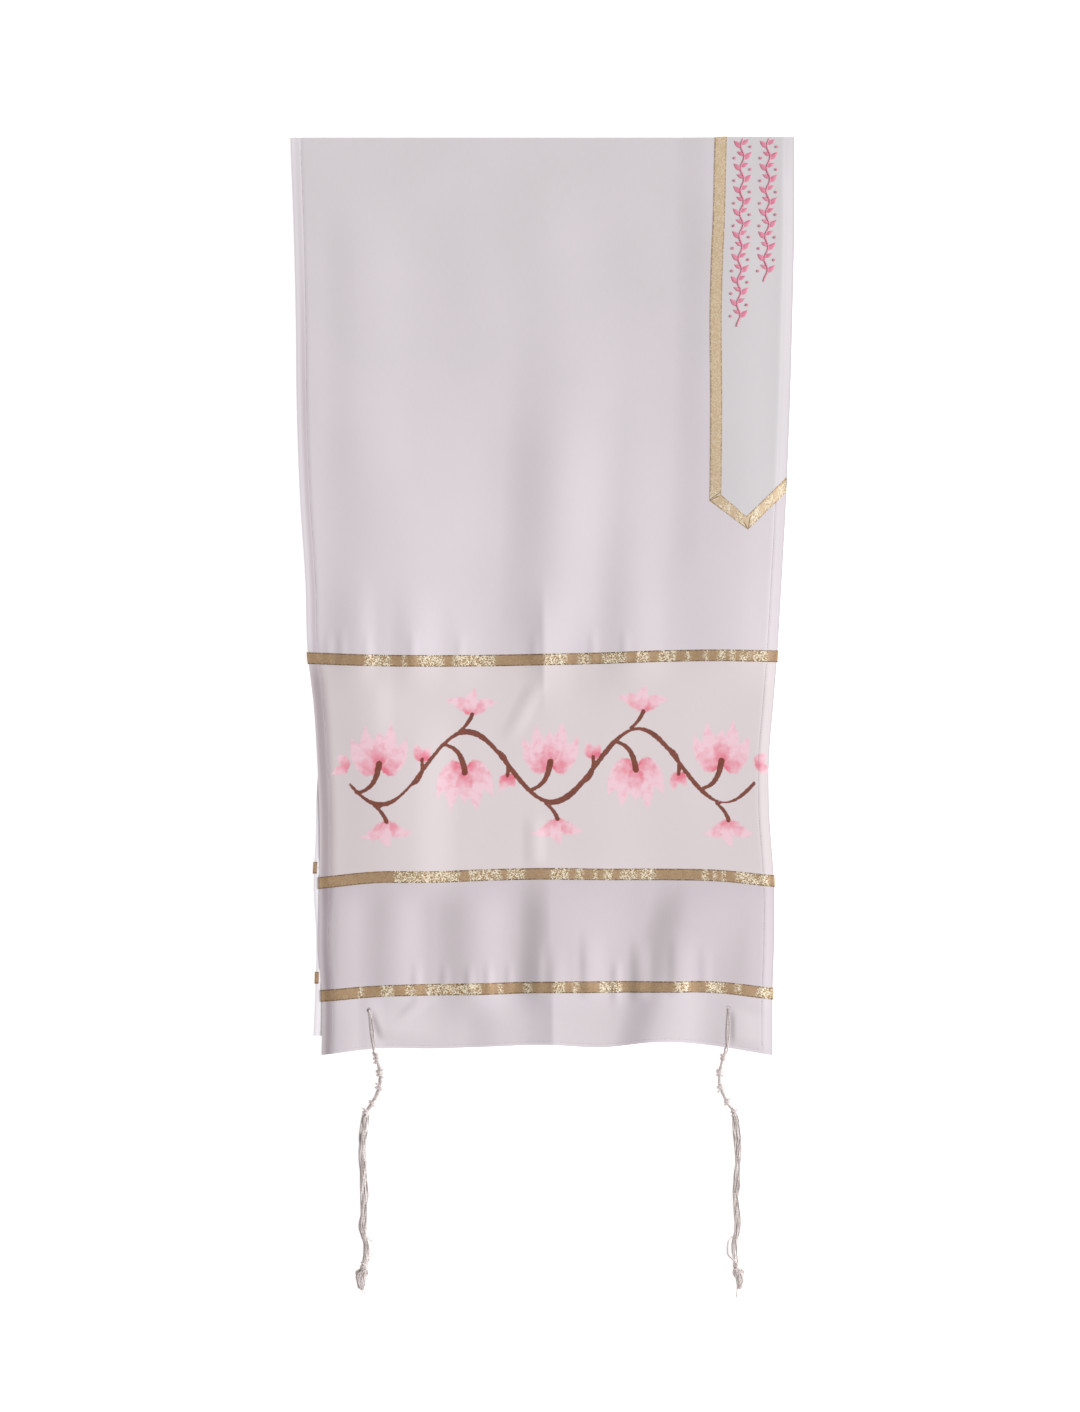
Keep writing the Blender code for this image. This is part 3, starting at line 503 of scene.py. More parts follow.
def satin(name, colour, shade, hem_light=0.16):
    """Polyester satin, woven with long floats.

    The floats give a soft even sheen and no visible grain from a step away. The twill of the
    weave is 0.35 mm apart in the real cloth and is drawn 1.25 mm apart, and slubs run along it.
    """
    material, tree, shader = new_material(name, {
        "Roughness": 0.58, "Sheen Weight": 0.18, "Sheen Roughness": 0.45,
        "Specular IOR Level": 0.35})
    uv = coordinates(tree, "UV")
    slub = noise(tree, stretched(tree, uv, 0.16), 620.0)
    twill = node(tree, "ShaderNodeTexWave",
                 {"Vector": uv, "Scale": 350.0, "Distortion": 0.6, "Detail": 1.0,
                  "Detail Scale": 2.0}, wave_type="BANDS", bands_direction="DIAGONAL")
    clouded = ranged(tree, noise(tree, uv, 11.0, 3.0), 0.3, 0.7, 0.0, 0.16)
    threaded = ranged(tree, slub, 0.35, 0.75, 0.0, 0.12)
    # The cloth is greyer near the fold, fading out 460 mm below it
    length = node(tree, "ShaderNodeSeparateXYZ", {0: uv}).outputs[1]
    greyed_near_fold = node(tree, "ShaderNodeValToRGB", {0: maths(tree, "ABSOLUTE", length)})
    for place, amount in ((0.0, 0.3), (0.12, 0.28), (0.46, 0.0)):
        greyed_near_fold.color_ramp.elements.new(place).color = (amount, amount, amount, 1.0)
    for end in (0, -1):
        greyed_near_fold.color_ramp.elements.remove(greyed_near_fold.color_ramp.elements[end])
    tone_mix = maths(tree, "ADD", maths(tree, "ADD", clouded, greyed_near_fold.outputs[0]), threaded)
    # The hems are lighter where the cloth lies doubled, and lighter again as a painted highlight
    # where a hem's edge turns to the light
    doubled_and_highlit = maths(tree, "MULTIPLY", given(tree, "hem"), hem_light, clamp=True)
    hemmed = mixed(tree, doubled_and_highlit, mixed(tree, tone_mix, colour, shade), "#ece6ea")
    # Painted shade: where the rolled attribute is set, the cloth is mixed towards a shaded mauve
    with_painted_shade = mixed(tree, maths(tree, "MULTIPLY", given(tree, "rolled"), 0.62), hemmed, "#a3939a")
    # The reverse of a satin is matte and paler than its face, and here it is painted paler still:
    # painted light over the shadow that the front half casts on the strip of the back beside it
    cloth = mixed(tree, given(tree, "reverse"), with_painted_shade, "#efebee")
    dress(tree, shader, cloth, blend(tree, 0.45, twill.outputs["Fac"], slub), 0.22, 0.06)
    return material


# Greyed white with a breath of lilac, as bleached polyester looks in shade
body_satin = satin("body_polyester_satin", "#d8d0d4", "#c6c2c4")
body_below, body_turn = over_fold(
    rows_between((0, 2.0), (12, 5.5), (500, 2.6), (570.85, 1)),
    rows_between((0, 2.0), (12, 9.0), (545, 4.0), (555.85, 1)))
body = cloth_wall("body_cloth", columns_every(2.75), body_below, body_turn, body_satin)
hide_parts("body_panel")


# ------------------------------------------------------------- Decorated panels
# Lighter panels of the same satin between the upper and middle ribbon of each half. The front
# one is painted by hand with fabric dye: a scrolling stem with tulips and leaves, let dry soft.

STEM_MIDDLE = 690.0
STEM_SWING = 40.0
STEM_REACH = 222.0
HALF_WAVE = 94.0
DESIGN_CENTRE = 11.0
CURVE_POINTS = 40
# Distance inside that counts as far outside the design, in mm
FAR_OUTSIDE = -30.0
# Petals in degrees and mm: turn from upright, length, half width, bow, tone
TULIP = ((-80, 30, 9.0, -5, 0.25), (80, 30, 9.0, 5, 0.25), (-42, 46, 12.0, -8, -0.1),
         (42, 46, 12.0, 8, -0.1), (-14, 52, 11.0, -5, -0.3), (17, 50, 11.0, 6, -0.2),
         (0, 40, 11.5, 0, 0.12))
LEAF_SPRAY = ((-66, 34, 8.0, 7, 0.0), (60, 36, 8.0, -7, 0.1), (-8, 33, 9.0, 4, -0.2))
# Buds have a turn, a length and a tone, and the two at each end of the stem no tone
BUD = ((20, 24, 0.3), (-25, 20, 0.5))
END_BUD = ((-38, 20), (24, 24))


def wave_crests():
    """Number, middle, 1 or -1 for the way up, and the stem's height at each of five crests."""
    for number in range(-2, 3):
        up = -1.0 if number % 2 == 0 else 1.0
        yield number, DESIGN_CENTRE + number * HALF_WAVE, up, STEM_MIDDLE - up * STEM_SWING


def petal_field(x, depth, base, way, length, half_width, bend, fullness):
    """Depth in mm inside a petal, and 0 to 1 along it.

    Half its width is sin(pi s^fullness) along the axis s, and the axis bows by bend s(1 - s).
    """
    angle = math.radians(way)
    dx, dy = x - base[0], depth - base[1]
    s = (dx * math.cos(angle) + dy * math.sin(angle)) / length
    t = -dx * math.sin(angle) + dy * math.cos(angle)
    held = np.clip(s, 0.0, 1.0)
    t = t - bend * held * (1 - held) * 4
    inside = half_width * np.sin(np.pi * held ** fullness) - np.abs(t)
    past = np.maximum(-s, s - 1.0) * length
    return np.where(past > 0, np.minimum(inside, -past), inside), held


def stroke_field(x, depth, path, half_widths):
    """Depth in mm inside a brush stroke: half its width less the distance to its middle line."""
    best = np.full(x.shape, FAR_OUTSIDE)
    for (px, py), half in zip(path, half_widths):
        best = np.maximum(best, half - np.hypot(x - px, depth - py))
    return best


def curve(*corners):
    """Points of the Bezier curve with these corners."""
    t = np.linspace(0.0, 1.0, CURVE_POINTS)
    order = len(corners) - 1
    weights = [math.comb(order, k) * t**k * (1 - t)**(order - k) for k in range(order + 1)]
    return sum(w[:, None] * np.array(c, float) for w, c in zip(weights, corners))


def tulips(x, depth):
    """Petals of five tulips, three leaves opposite each, and a bud at the end of every tendril."""
    fields = []
    for number, middle, up, crest in wave_crests():
        for base, side, fullness, petals in (
                ((middle - 2, crest + up * 42.0), up, 0.62, TULIP),
                ((middle + 6, crest - up * 17.0), -up, 0.8, LEAF_SPRAY)):
            for way, length, half, bend, tone in petals:
                fields.append((*petal_field(x, depth, base, side * (90 + way), length, half,
                                            side * bend, fullness), tone))
        for way, length, tone in BUD if number < 2 else ():
            bud = (middle + 45, crest + up * 47.0)
            fields.append((*petal_field(x, depth, bud, up * (90 + way), length, 7.0, 0, 0.7),
                           tone))
    for side in (-1, 1):
        end = (DESIGN_CENTRE + side * STEM_REACH, STEM_MIDDLE - 4)
        for way, length in END_BUD:
            heading = way if side > 0 else 180 - way
            fields.append((*petal_field(x, depth, end, heading, length, 6.5, 0, 0.75), 0.1))
    return fields


def stems(x, depth):
    """The scrolling stem, and the short stalk of every tulip, leaf spray and bud."""
    along = np.linspace(-STEM_REACH, STEM_REACH, 420)
    scroll = np.stack((DESIGN_CENTRE + along,
                       STEM_MIDDLE + STEM_SWING * np.cos(np.pi * along / HALF_WAVE)), -1)
    swell = (3.0 + 0.8 * np.sin(along / 11.0) * np.cos(along / 29.0)
             - 1.1 * np.abs(along) / STEM_REACH)
    best = stroke_field(x, depth, scroll, swell)
    for number, middle, up, crest in wave_crests():
        # Each stalk: three places from the crest, and its half width at its foot and its end
        stalks = (((-28, up * 14), (-6, up * 14), (-2, up * 45), 1.6, 3.6),
                  ((-8, -up * 1.0), (2, -up * 8), (6, -up * 19), 1.6, 2.6),
                  ((34, up * 22.0), (47, up * 26), (45, up * 50), 1.4, 2.2))
        for *places, foot, end in stalks[:3 if number < 2 else 2]:
            path = curve(*((middle + dx, crest + dy) for dx, dy in places))
            halves = np.linspace(foot, end, CURVE_POINTS)
            best = np.maximum(best, stroke_field(x, depth, path, halves))
    return best


def painting(across, below):
    """The painted design as distances in mm: petals, their tone, and stems."""
    x = cloth_x(across, below) / MM
    depth = below / MM
    petals = np.full(x.shape, FAR_OUTSIDE)
    tone = np.zeros(x.shape)
    for inside, along, deep in tulips(x, depth):
        on_top = inside > np.minimum(petals, 2.4)
        petals = np.maximum(petals, inside)
        tone = np.where(on_top & (inside > -2), np.clip(0.86 - 1.35 * along + deep, 0, 1), tone)
    return {"petals": petals * MM, "tone": tone, "stems": stems(x, depth) * MM}


def paint_on(material):
    """Lays fabric dye over a satin: soft-edged washes of pink, and brush strokes of brown."""
    tree = material.node_tree
    shader = tree.nodes["Principled BSDF"]
    cloth = shader.inputs["Base Color"].links[0].from_socket
    uv = coordinates(tree, "UV")
    bleed = noise(tree, uv, 230.0, 4.0, Roughness=0.6)
    wash = noise(tree, uv, 120.0, 3.0)
    # The dye creeps 1.5 mm along the threads before it dries, so the outline is uneven
    creep = ranged(tree, bleed, 0.3, 0.7, -1.5 * MM, 1.5 * MM)
    cover = ranged(tree, maths(tree, "ADD", given(tree, "petals"), creep), -0.4 * MM, 2.6 * MM,
                   0.0, 0.88, interpolation_type="SMOOTHSTEP")
    mottle = ranged(tree, wash, 0.3, 0.7, -0.28, 0.28)
    toned = maths(tree, "ADD", given(tree, "tone"), mottle, clamp=True)
    washed = mixed(tree, cover, cloth, mixed(tree, toned, "#f0c9d4", "#e2627c"))
    dry = ranged(tree, bleed, 0.3, 0.7, -0.45 * MM, 0.45 * MM)
    stroke = ranged(tree, maths(tree, "ADD", given(tree, "stems"), dry), -0.3 * MM, 0.5 * MM,
                    0.0, 0.97, interpolation_type="SMOOTHSTEP")
    painted = mixed(tree, stroke, washed, mixed(tree, wash, "#8a4630", "#5e2a1c"))
    tree.links.new(painted, shader.inputs["Base Color"])


painted_satin = satin("painted_polyester_satin", "#dad0d1", "#d0c6c8")
paint_on(painted_satin)
plain_satin = satin("panel_polyester_satin", "#dad0d1", "#d0c6c8")

decor_rows = rows_between((571.15, 2.2), (578, 2.05), (792, 2.2), (809.85, 1))[::-1]
decor_front = cloth_wall("decor_cloth_front", columns_every(2.1), decor_rows[:, None], 0.0,
                         painted_satin, extra=painting)
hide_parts("decor_panel_front")
decor_back = cloth_wall("decor_cloth_back", columns_every(5.0),
                        -rows_between((556.15, 6.0), (800.85, 1))[:, None], 1.0, plain_satin)
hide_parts("decor_panel_back")


# ------------------------------------------------------------------ End panels
# The last panel of each half, of the same satin as the centre, hemmed along its sides and foot.
# Near each lower corner an eyelet is worked for a tassel: a round hole whipped over with thread.

EYELET_RADIUS = 1.15
# The cloth's grid is pushed out round an eyelet as far as this
EYELET_REACH = 9.0
# Across and distance below the fold at the eyelet, and across where the thread passes the hem
EYELETS = {
    "front_left": (0.1050, 953.5 * MM, 0.1176),
    "front_right": (0.9026, 955.0 * MM, 0.8998),
    "back_left": (0.1168, -956.0 * MM, 0.1240),
    "back_right": (0.9090, -956.0 * MM, 0.9065),
}


def eyelet_offsets(across, below, eyelet):
    """Distances in mm right of and below an eyelet's middle."""
    return ((across - eyelet[0]) * cloth_width(np.float64(eyelet[1])) / MM,
            (np.abs(below) - abs(eyelet[1])) / MM)


def open_eyelets(names):
    """Warp that pushes a grid out from each eyelet, and the cells that stay."""
    def warp(across, below):
        across, below = across.copy(), below.copy()
        for name in names:
            eyelet = EYELETS[name]
            dx, dy = eyelet_offsets(across, below, eyelet)
            far = np.maximum(np.hypot(dx, dy), 1e-6)
            spread = EYELET_RADIUS + far * (EYELET_REACH - EYELET_RADIUS) / EYELET_REACH
            pushed = np.where(far < EYELET_REACH, spread, far)
            width = cloth_width(np.float64(eyelet[1])) / MM
            across += dx * (pushed / far - 1.0) / width
            below += np.sign(eyelet[1]) * dy * (pushed / far - 1.0) * MM
        return across, below

    def keep(across, below):
        kept = np.ones(np.array(across.shape) - 1, bool)
        for name in names:
            eyelet = EYELETS[name]
            dx, dy = eyelet_offsets(across, below, eyelet)
            inside = ((np.minimum(dx[:-1, :-1], dx[:-1, 1:]) < 0)
                      & (np.maximum(dx[:-1, :-1], dx[:-1, 1:]) > 0)
                      & (np.minimum(dy[:-1, :-1], dy[1:, :-1]) < 0)
                      & (np.maximum(dy[:-1, :-1], dy[1:, :-1]) > 0))
            kept &= ~(inside & (np.hypot(dx, dy)[:-1, :-1] < 6))
        return kept

    return warp, keep


front_warp, front_keep = open_eyelets(("front_left", "front_right"))
end_rows = rows_between((810.15, 2.4), (890, 2.1), (955, 2.1), (985, 1.4), (998, 1))[::-1]
end_front = cloth_wall("end_cloth_front", columns_every(2.45), end_rows[:, None], 0.0, body_satin,
                       hem_at=FRONT_HEM, keep=front_keep, warp=front_warp)
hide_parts("end_panel_front")
back_warp, back_keep = open_eyelets(("back_left", "back_right"))
end_back = cloth_wall(
    "end_cloth_back", columns_every(3.6),
    -rows_between((801.15, 5.0), (930, 3.0), (974, 2.0), (986, 1))[:, None],
    1.0, body_satin, hem_at=BACK_HEM, keep=back_keep, warp=back_warp)
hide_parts("end_panel_back")


def tubes(paths, radii, sides, up=(0.0, 0.0, 1.0), flatten=1.0):
    """Closed tubes along many paths at once.

    Each ring is the path's point plus radius times cos a sideways and flatten sin a upwards,
    where sideways is the path's direction crossed with up. U runs along in metres, V around.
    """
    paths = np.asarray(paths, float)
    count, length = paths.shape[:2]
    radii = np.broadcast_to(radii, (count, length))
    way = np.gradient(paths, axis=1)
    way /= np.linalg.norm(way, axis=-1, keepdims=True) + 1e-12
    aside = np.cross(way, np.broadcast_to(up, paths.shape))
    aside /= np.linalg.norm(aside, axis=-1, keepdims=True) + 1e-12
    above = np.cross(aside, way)
    angle = 2 * np.pi * np.arange(sides) / sides
    ring = (aside[:, :, None] * np.cos(angle)[:, None]
            + flatten * above[:, :, None] * np.sin(angle)[:, None])
    points = paths[:, :, None] + ring * radii[:, :, None, None]
    steps = np.linalg.norm(np.diff(paths, axis=1), axis=-1)
    u = np.concatenate((np.zeros((count, 1)), np.cumsum(steps, axis=1)), axis=1)
    uv = np.stack(np.broadcast_arrays(u[:, :, None], np.arange(sides) / sides), axis=-1)
    place = np.arange(count * length * sides).reshape(count, length, sides)
    after = np.roll(place, -1, axis=2)
    walls = np.stack((place[:, :-1], after[:, :-1], after[:, 1:], place[:, 1:]), -1)
    faces = [walls.reshape(-1, 4)[:, ::-1], place[:, 0], place[:, -1, ::-1]]
    return points.reshape(-1, 3), faces, uv.reshape(-1, 2)


def joined(*groups):
    """Several sets of points, faces and UVs as one."""
    points, faces, uvs, start = [], [], [], 0
    for group_points, group_faces, group_uv in groups:
        points.append(group_points)
        faces += [face + start for face in group_faces]
        uvs.append(group_uv)
        start += len(group_points)
    return np.concatenate(points), faces, np.concatenate(uvs)


def spun_thread(name, light, dark, twist):
    """Spun thread of two plies, matte with a fine fuzz. Dark gaps of painted shade wind round
    between the plies.
    """
    material, tree, shader = new_material(name, {
        "Roughness": 0.85, "Sheen Weight": 0.3, "Specular IOR Level": 0.2})
    parts = node(tree, "ShaderNodeSeparateXYZ", {0: coordinates(tree, "UV")}).outputs
    phase = maths(tree, "ADD", maths(tree, "MULTIPLY", parts[0], 2 * math.pi / twist),
                  maths(tree, "MULTIPLY", parts[1], 4 * math.pi))
    place = coordinates(tree, "Object")
    height = maths(tree, "ADD", maths(tree, "SINE", phase), noise(tree, place, 1400.0))
    ply_shade = ranged(tree, height, -0.7, 0.7, 0.5, 0.0)
    # Handled threads are greyer in streaks that follow them
    streak = noise(tree, stretched(tree, place, 0.18), 420.0, 1.0)
    greyed = ranged(tree, streak, 0.42, 0.6, 0.0, 0.75)
    colour = mixed(tree, maths(tree, "ADD", ply_shade, greyed, clamp=True), light, dark)
    dress(tree, shader, colour, height, 0.5, 0.08)
    return material


sewing_thread = spun_thread("polyester_sewing_thread", "#d3cacf", "#a99da4", 0.9 * MM)
for label, eyelet in EYELETS.items():
    spokes = np.arange(16) * 2 * math.pi / 16
    lean = np.linspace(-1.0, 1.0, 7)
    # Each whip goes from the cloth into the hole and back under it, a little slanted
    radius = EYELET_RADIUS - 0.05 + 1.2 * np.abs(lean) ** 1.4
    spin = spokes[:, None] + lean * 0.12
    width = cloth_width(np.float64(eyelet[1])) / MM
    place_across = eyelet[0] + radius * np.cos(spin) / width
    place_below = eyelet[1] + np.sign(eyelet[1]) * radius * np.sin(spin) * MM
    out = CLOTH / 2 + (CLOTH / 2 + 0.1 * MM) * np.sin(lean * math.pi / 2)
    whips = cloth_point(place_across, place_below, 0.0 if eyelet[1] > 0 else 1.0, out)
    whip = new_piece("eyelet_whip_" + label, *tubes(whips, 0.2 * MM, 5, up=(0.3, 0.2, 1.0)),
                     sewing_thread)


# ---------------------------------------------------------------- Hem stitches
# The hems are turned twice and held by one row of lockstitch, 11.5 mm in from the side edges
# and 3.5 mm from the foot. Each stitch is 2.7 mm of thread that dips in at both ends.

STITCH_PITCH = 3.1
THREAD_RADIUS = 0.19 * MM


def stitch_row(across, below, turn):
    """Short tubes from place to place along a row, each rising out of the cloth and back."""
    share = np.array((0.06, 0.22, 0.5, 0.78, 0.94))
    spot_across = across[:-1, None] + np.diff(across)[:, None] * share
    spot_below = below[:-1, None] + np.diff(below)[:, None] * share
    spot_turn = np.broadcast_to(turn, spot_across.shape)
    lift = CLOTH - 0.34 * MM + 0.26 * MM * np.sin(np.pi * share)
    points = cloth_point(spot_across, spot_below, spot_turn, lift)
    return tubes(points, THREAD_RADIUS * np.array((0.6, 1.0, 1.1, 1.0, 0.6)), 4)


def side_row(start, end, side, turn):
    """Stitches along one side hem between two distances below the fold."""
    below = np.linspace(start, end, int(abs(end - start) / MM / STITCH_PITCH) + 1)
    inset = HEM_WIDTH * MM / cloth_width(below)
    return stitch_row(np.where(side > 0, 1 - inset, inset), below, turn)


def foot_row(hem, sign, turn):
    """Stitches along the foot hem."""
    across = np.linspace(0.024, 0.976, int(480 / STITCH_PITCH))
    below = np.full_like(across, sign * (hem - FOOT_HEM_WIDTH * MM))
    return stitch_row(across, below, turn)


for label, sign, turn, lines, hem in (
        ("front", 1, 0.0, (0.004, FRONT_UPPER, FRONT_MIDDLE, FRONT_LOWER), FRONT_HEM),
        ("back", -1, 1.0, (0.004, BACK_UPPER, BACK_MIDDLE, BACK_LOWER), BACK_HEM)):
    runs = []
    for start, end in zip(lines, (*lines[1:], hem)):
        for side in (-1, 1):
            runs.append(side_row(sign * (start + 8 * MM), sign * (end - 8 * MM), side, turn))
    runs.append(foot_row(hem, sign, turn))
    stitches = new_piece("hem_stitches_" + label, *joined(*runs), sewing_thread)


# --------------------------------------------------------------- Cross ribbons
# Half-inch ribbon of gold lurex brocade, sewn over each seam from side to side, with its ends
# turned round the hems and tacked on the reverse. The brocade glitters where its figure shows
# and is matte tan between.

# Where the brocade glitters, in mm from the middle of the shawl: start, end
GLITTER = {
    "upper": ((-195, -166), (-154, -149), (-136, -108), (-98, -52), (2, 27), (40, 52), (66, 92),
              (104, 117), (128, 146), (158, 162), (178, 182), (193, 201), (206, 212),
              (218, 228), (232, 248)),
    "middle": ((-163, -91), (-80, -45), (-38, -19), (9, 30), (37, 45), (56, 60), (68, 78),
               (86, 104), (108, 125), (176, 183), (188, 191), (197, 202), (213, 249)),
    "lower": ((-202, -197), (-177, -163), (-150, -139), (-128, -67), (-48, -44), (-20, -12),
              (12, 24), (34, 40), (63, 87), (145, 161), (180, 202), (212, 218), (235, 252)),
}


def glitter_at(x, spans):
    """1 where the brocade glitters and 0 where it is matte, with 2 mm to pass from one to other."""
    share = np.zeros_like(x)
    for start, end in spans:
        share = np.maximum(share, ease((x / MM - start + 1.5) / 3) * ease((end - x / MM + 1.5) / 3))
    return share


def lurex_brocade(name, light, dark, figure, selvage_tone):
    """Lurex brocade, woven of tan polyester with a flat metallised thread.

    It looks matte tan in its ground and scattered with pale gold flecks in its figure, with a
    thin brown selvage on each side. The metal thread is 0.3 mm wide and is drawn 0.9 mm wide.
    """
    material, tree, shader = new_material(name, {"Metallic": 0.25})
    uv = coordinates(tree, "UV")
    flecks = node(tree, "ShaderNodeTexVoronoi", {"Vector": uv, "Scale": 860.0})
    spark = node(tree, "ShaderNodeSeparateColor", {0: flecks.outputs["Color"]}).outputs[0]
    vines = noise(tree, uv, 520.0, 3.0, Distortion=1.0)
    weft = node(tree, "ShaderNodeTexWave",
                {"Vector": uv, "Scale": 420.0, "Distortion": 0.4}, bands_direction="X")
    scattered = maths(tree, "ADD", spark, ranged(tree, vines, 0.4, 0.6, 0.0, 0.14))
    shown = ranged(tree, given(tree, "glitter"), 0.0, 1.0, 0.10, 1.0)
    fleck = maths(tree, "MULTIPLY", ranged(tree, scattered, 0.36, 0.92), shown)
    ground = mixed(tree, noise(tree, uv, 60.0), light, dark)
    # Painted highlights: the flecks mix the figure towards near white, as bright as the metal
    # thread's glints
    gilt = mixed(tree, fleck, mixed(tree, shown, ground, figure), "#fbf1d8")
    # The selvage is the outer millimetre on each side, and its stitches leave it in dashes
    v = node(tree, "ShaderNodeSeparateXYZ", {0: uv}).outputs[1]
    away = maths(tree, "ABSOLUTE", maths(tree, "SUBTRACT", v, RIBBON_WIDTH / 2))
    selvage = ranged(tree, away, RIBBON_WIDTH / 2 - 1.4 * MM, RIBBON_WIDTH / 2 - 0.9 * MM)
    dashed = ranged(tree, spark, 0.45, 0.75, 0.85, 0.2)
    edged = mixed(tree, maths(tree, "MULTIPLY", selvage, dashed), gilt, selvage_tone)
    dress(tree, shader, edged, blend(tree, shown, weft.outputs["Fac"], scattered), 0.45, 0.12)
    tree.links.new(ranged(tree, fleck, 0.0, 1.0, 0.55, 0.3), shader.inputs["Roughness"])
    return material


lurex = lurex_brocade("gold_lurex_brocade", "#b49673", "#997958", "#a08158", "#644a2f")


def ribbon_wall(points_outer, points_inner, uv, values):
    """Closed strip from grids of outer and inner points, and its UVs and attributes."""
    faces = wall_faces(np.ones(np.array(points_outer.shape[:2]) - 1, bool))
    points = np.concatenate((points_outer.reshape(-1, 3), points_inner.reshape(-1, 3)))
    return points, faces, np.tile(uv.reshape(-1, 2), (2, 1)), np.tile(values.ravel(), 2)


def cross_ribbon(name, line, sign, spans, slack, tuck):
    """Ribbon that starts on the reverse, goes round the left hem, across, and round the right.

    Round an edge its distance beyond the edge and its distance out follow a half circle about
    the hem's middle. The stitched edges pull it in by a slow ripple, slack in mm.
    """
    bend = np.linspace(-np.pi / 2, np.pi / 2, 9)
    core = CLOTH / 2
    inside = np.linspace(tuck, 1.5 * MM, 5)
    run = np.concatenate((np.linspace(1.5, 12, 6) / 520,
                          np.linspace(0.0245, 1 - 0.0245, 196)[1:-1],
                          1 - np.linspace(12, 1.5, 6) / 520))
    # Columns: on the reverse, round the left edge, across, round the right edge, on the reverse
    across = np.concatenate((inside / 0.52, np.zeros(9), run, np.ones(9),
                             1 - inside[::-1] / 0.52))
    beyond = np.concatenate((np.zeros(5), -np.cos(bend), np.zeros(len(run)),
                             np.cos(bend), np.zeros(5)))
    lift = np.concatenate((-np.ones(5), np.sin(bend), np.ones(len(run)), -np.sin(bend),
                           -np.ones(5)))
    rows = np.linspace(0.5, -0.5, 8)
    layers = []
    ripple = slack * np.sin(across * 61 + rows[:, None] * 2.2) * np.sin(across * 23 + 1.0) * MM
    rolled = 0.16 * MM * (np.abs(rows[:, None]) * 2) ** 4
    for thick in (UNDER_TRIM + RIBBON_CLOTH, UNDER_TRIM):
        reach = core + thick + np.where(np.abs(lift) < 1, 0.0, np.maximum(ripple, 0.0) - rolled)
        below = sign * (line - rows[:, None] * RIBBON_WIDTH + 0.12 * ripple)
        layers.append(cloth_point(across, below, 0.0 if sign > 0 else 1.0,
                                  core + reach * lift, beyond * (core + thick)))
    if sign < 0:
        layers = [layer[::-1] for layer in layers]
    step = np.linalg.norm(np.diff(layers[0][3], axis=0), axis=-1)
    u = np.concatenate(((0.0,), np.cumsum(step)))
    uv = np.stack(np.broadcast_arrays(u, (rows[:, None] + 0.5) * RIBBON_WIDTH), axis=-1)
    shine = np.broadcast_to(glitter_at(layers[0][3, :, 0], spans), uv.shape[:2])
    if sign > 0:
        layers = [layer[::-1] for layer in layers]
        uv = uv[::-1]
    points, faces, uv, shine = ribbon_wall(*layers, uv, shine)
    piece = new_piece(name, points, faces, uv, lurex, {"glitter": shine})
    return piece


for half, sign, lines in (("front", 1, (FRONT_UPPER, FRONT_MIDDLE, FRONT_LOWER)),
                          ("back", -1, (BACK_UPPER, BACK_MIDDLE, BACK_LOWER))):
    for level, line in zip(("upper", "middle", "lower"), lines):
        label = f"{half}_{level}"
        slack = {"upper": 0.16, "middle": 0.2, "lower": 0.28}[level]
        cross_ribbon(
            "lurex_ribbon_" + label, line, sign, GLITTER[level],
            slack if sign > 0 else 0.05, (9.0 if sign > 0 else 3.6) * MM)
        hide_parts("ribbon_" + label)


# -------------------------------------------------------------------- Neckband
# A strip of the same satin, sewn on along the neck edge over the fold, with a pointed end on
# each half. Its outer edge is turned in with the shawl's own hem, which makes a lighter border,
# painted lighter still as a highlight where the hem turns to the light.

# The strip is straight this far below the fold, and ends this far short of its ribbon's point
BAND_STRAIGHT = 340 * MM
BAND_CLOTH_SHORT = 11 * MM

band_satin = satin("neckband_polyester_satin", "#d3cfd1", "#c9c5c7", hem_light=0.38)


def bowed(across, below, share=1.0):
    """Across moved left where the front's neckband bows: a smooth table of mm, times a share."""
    shift = smooth_between((0, 30, 80, 130, 180, 286, 341, 394),
                           (0, -1.0, -2.4, -4.4, -5.0, -2.4, -1.1, 0), below / MM)
    return across + shift * MM * share / cloth_width(below)


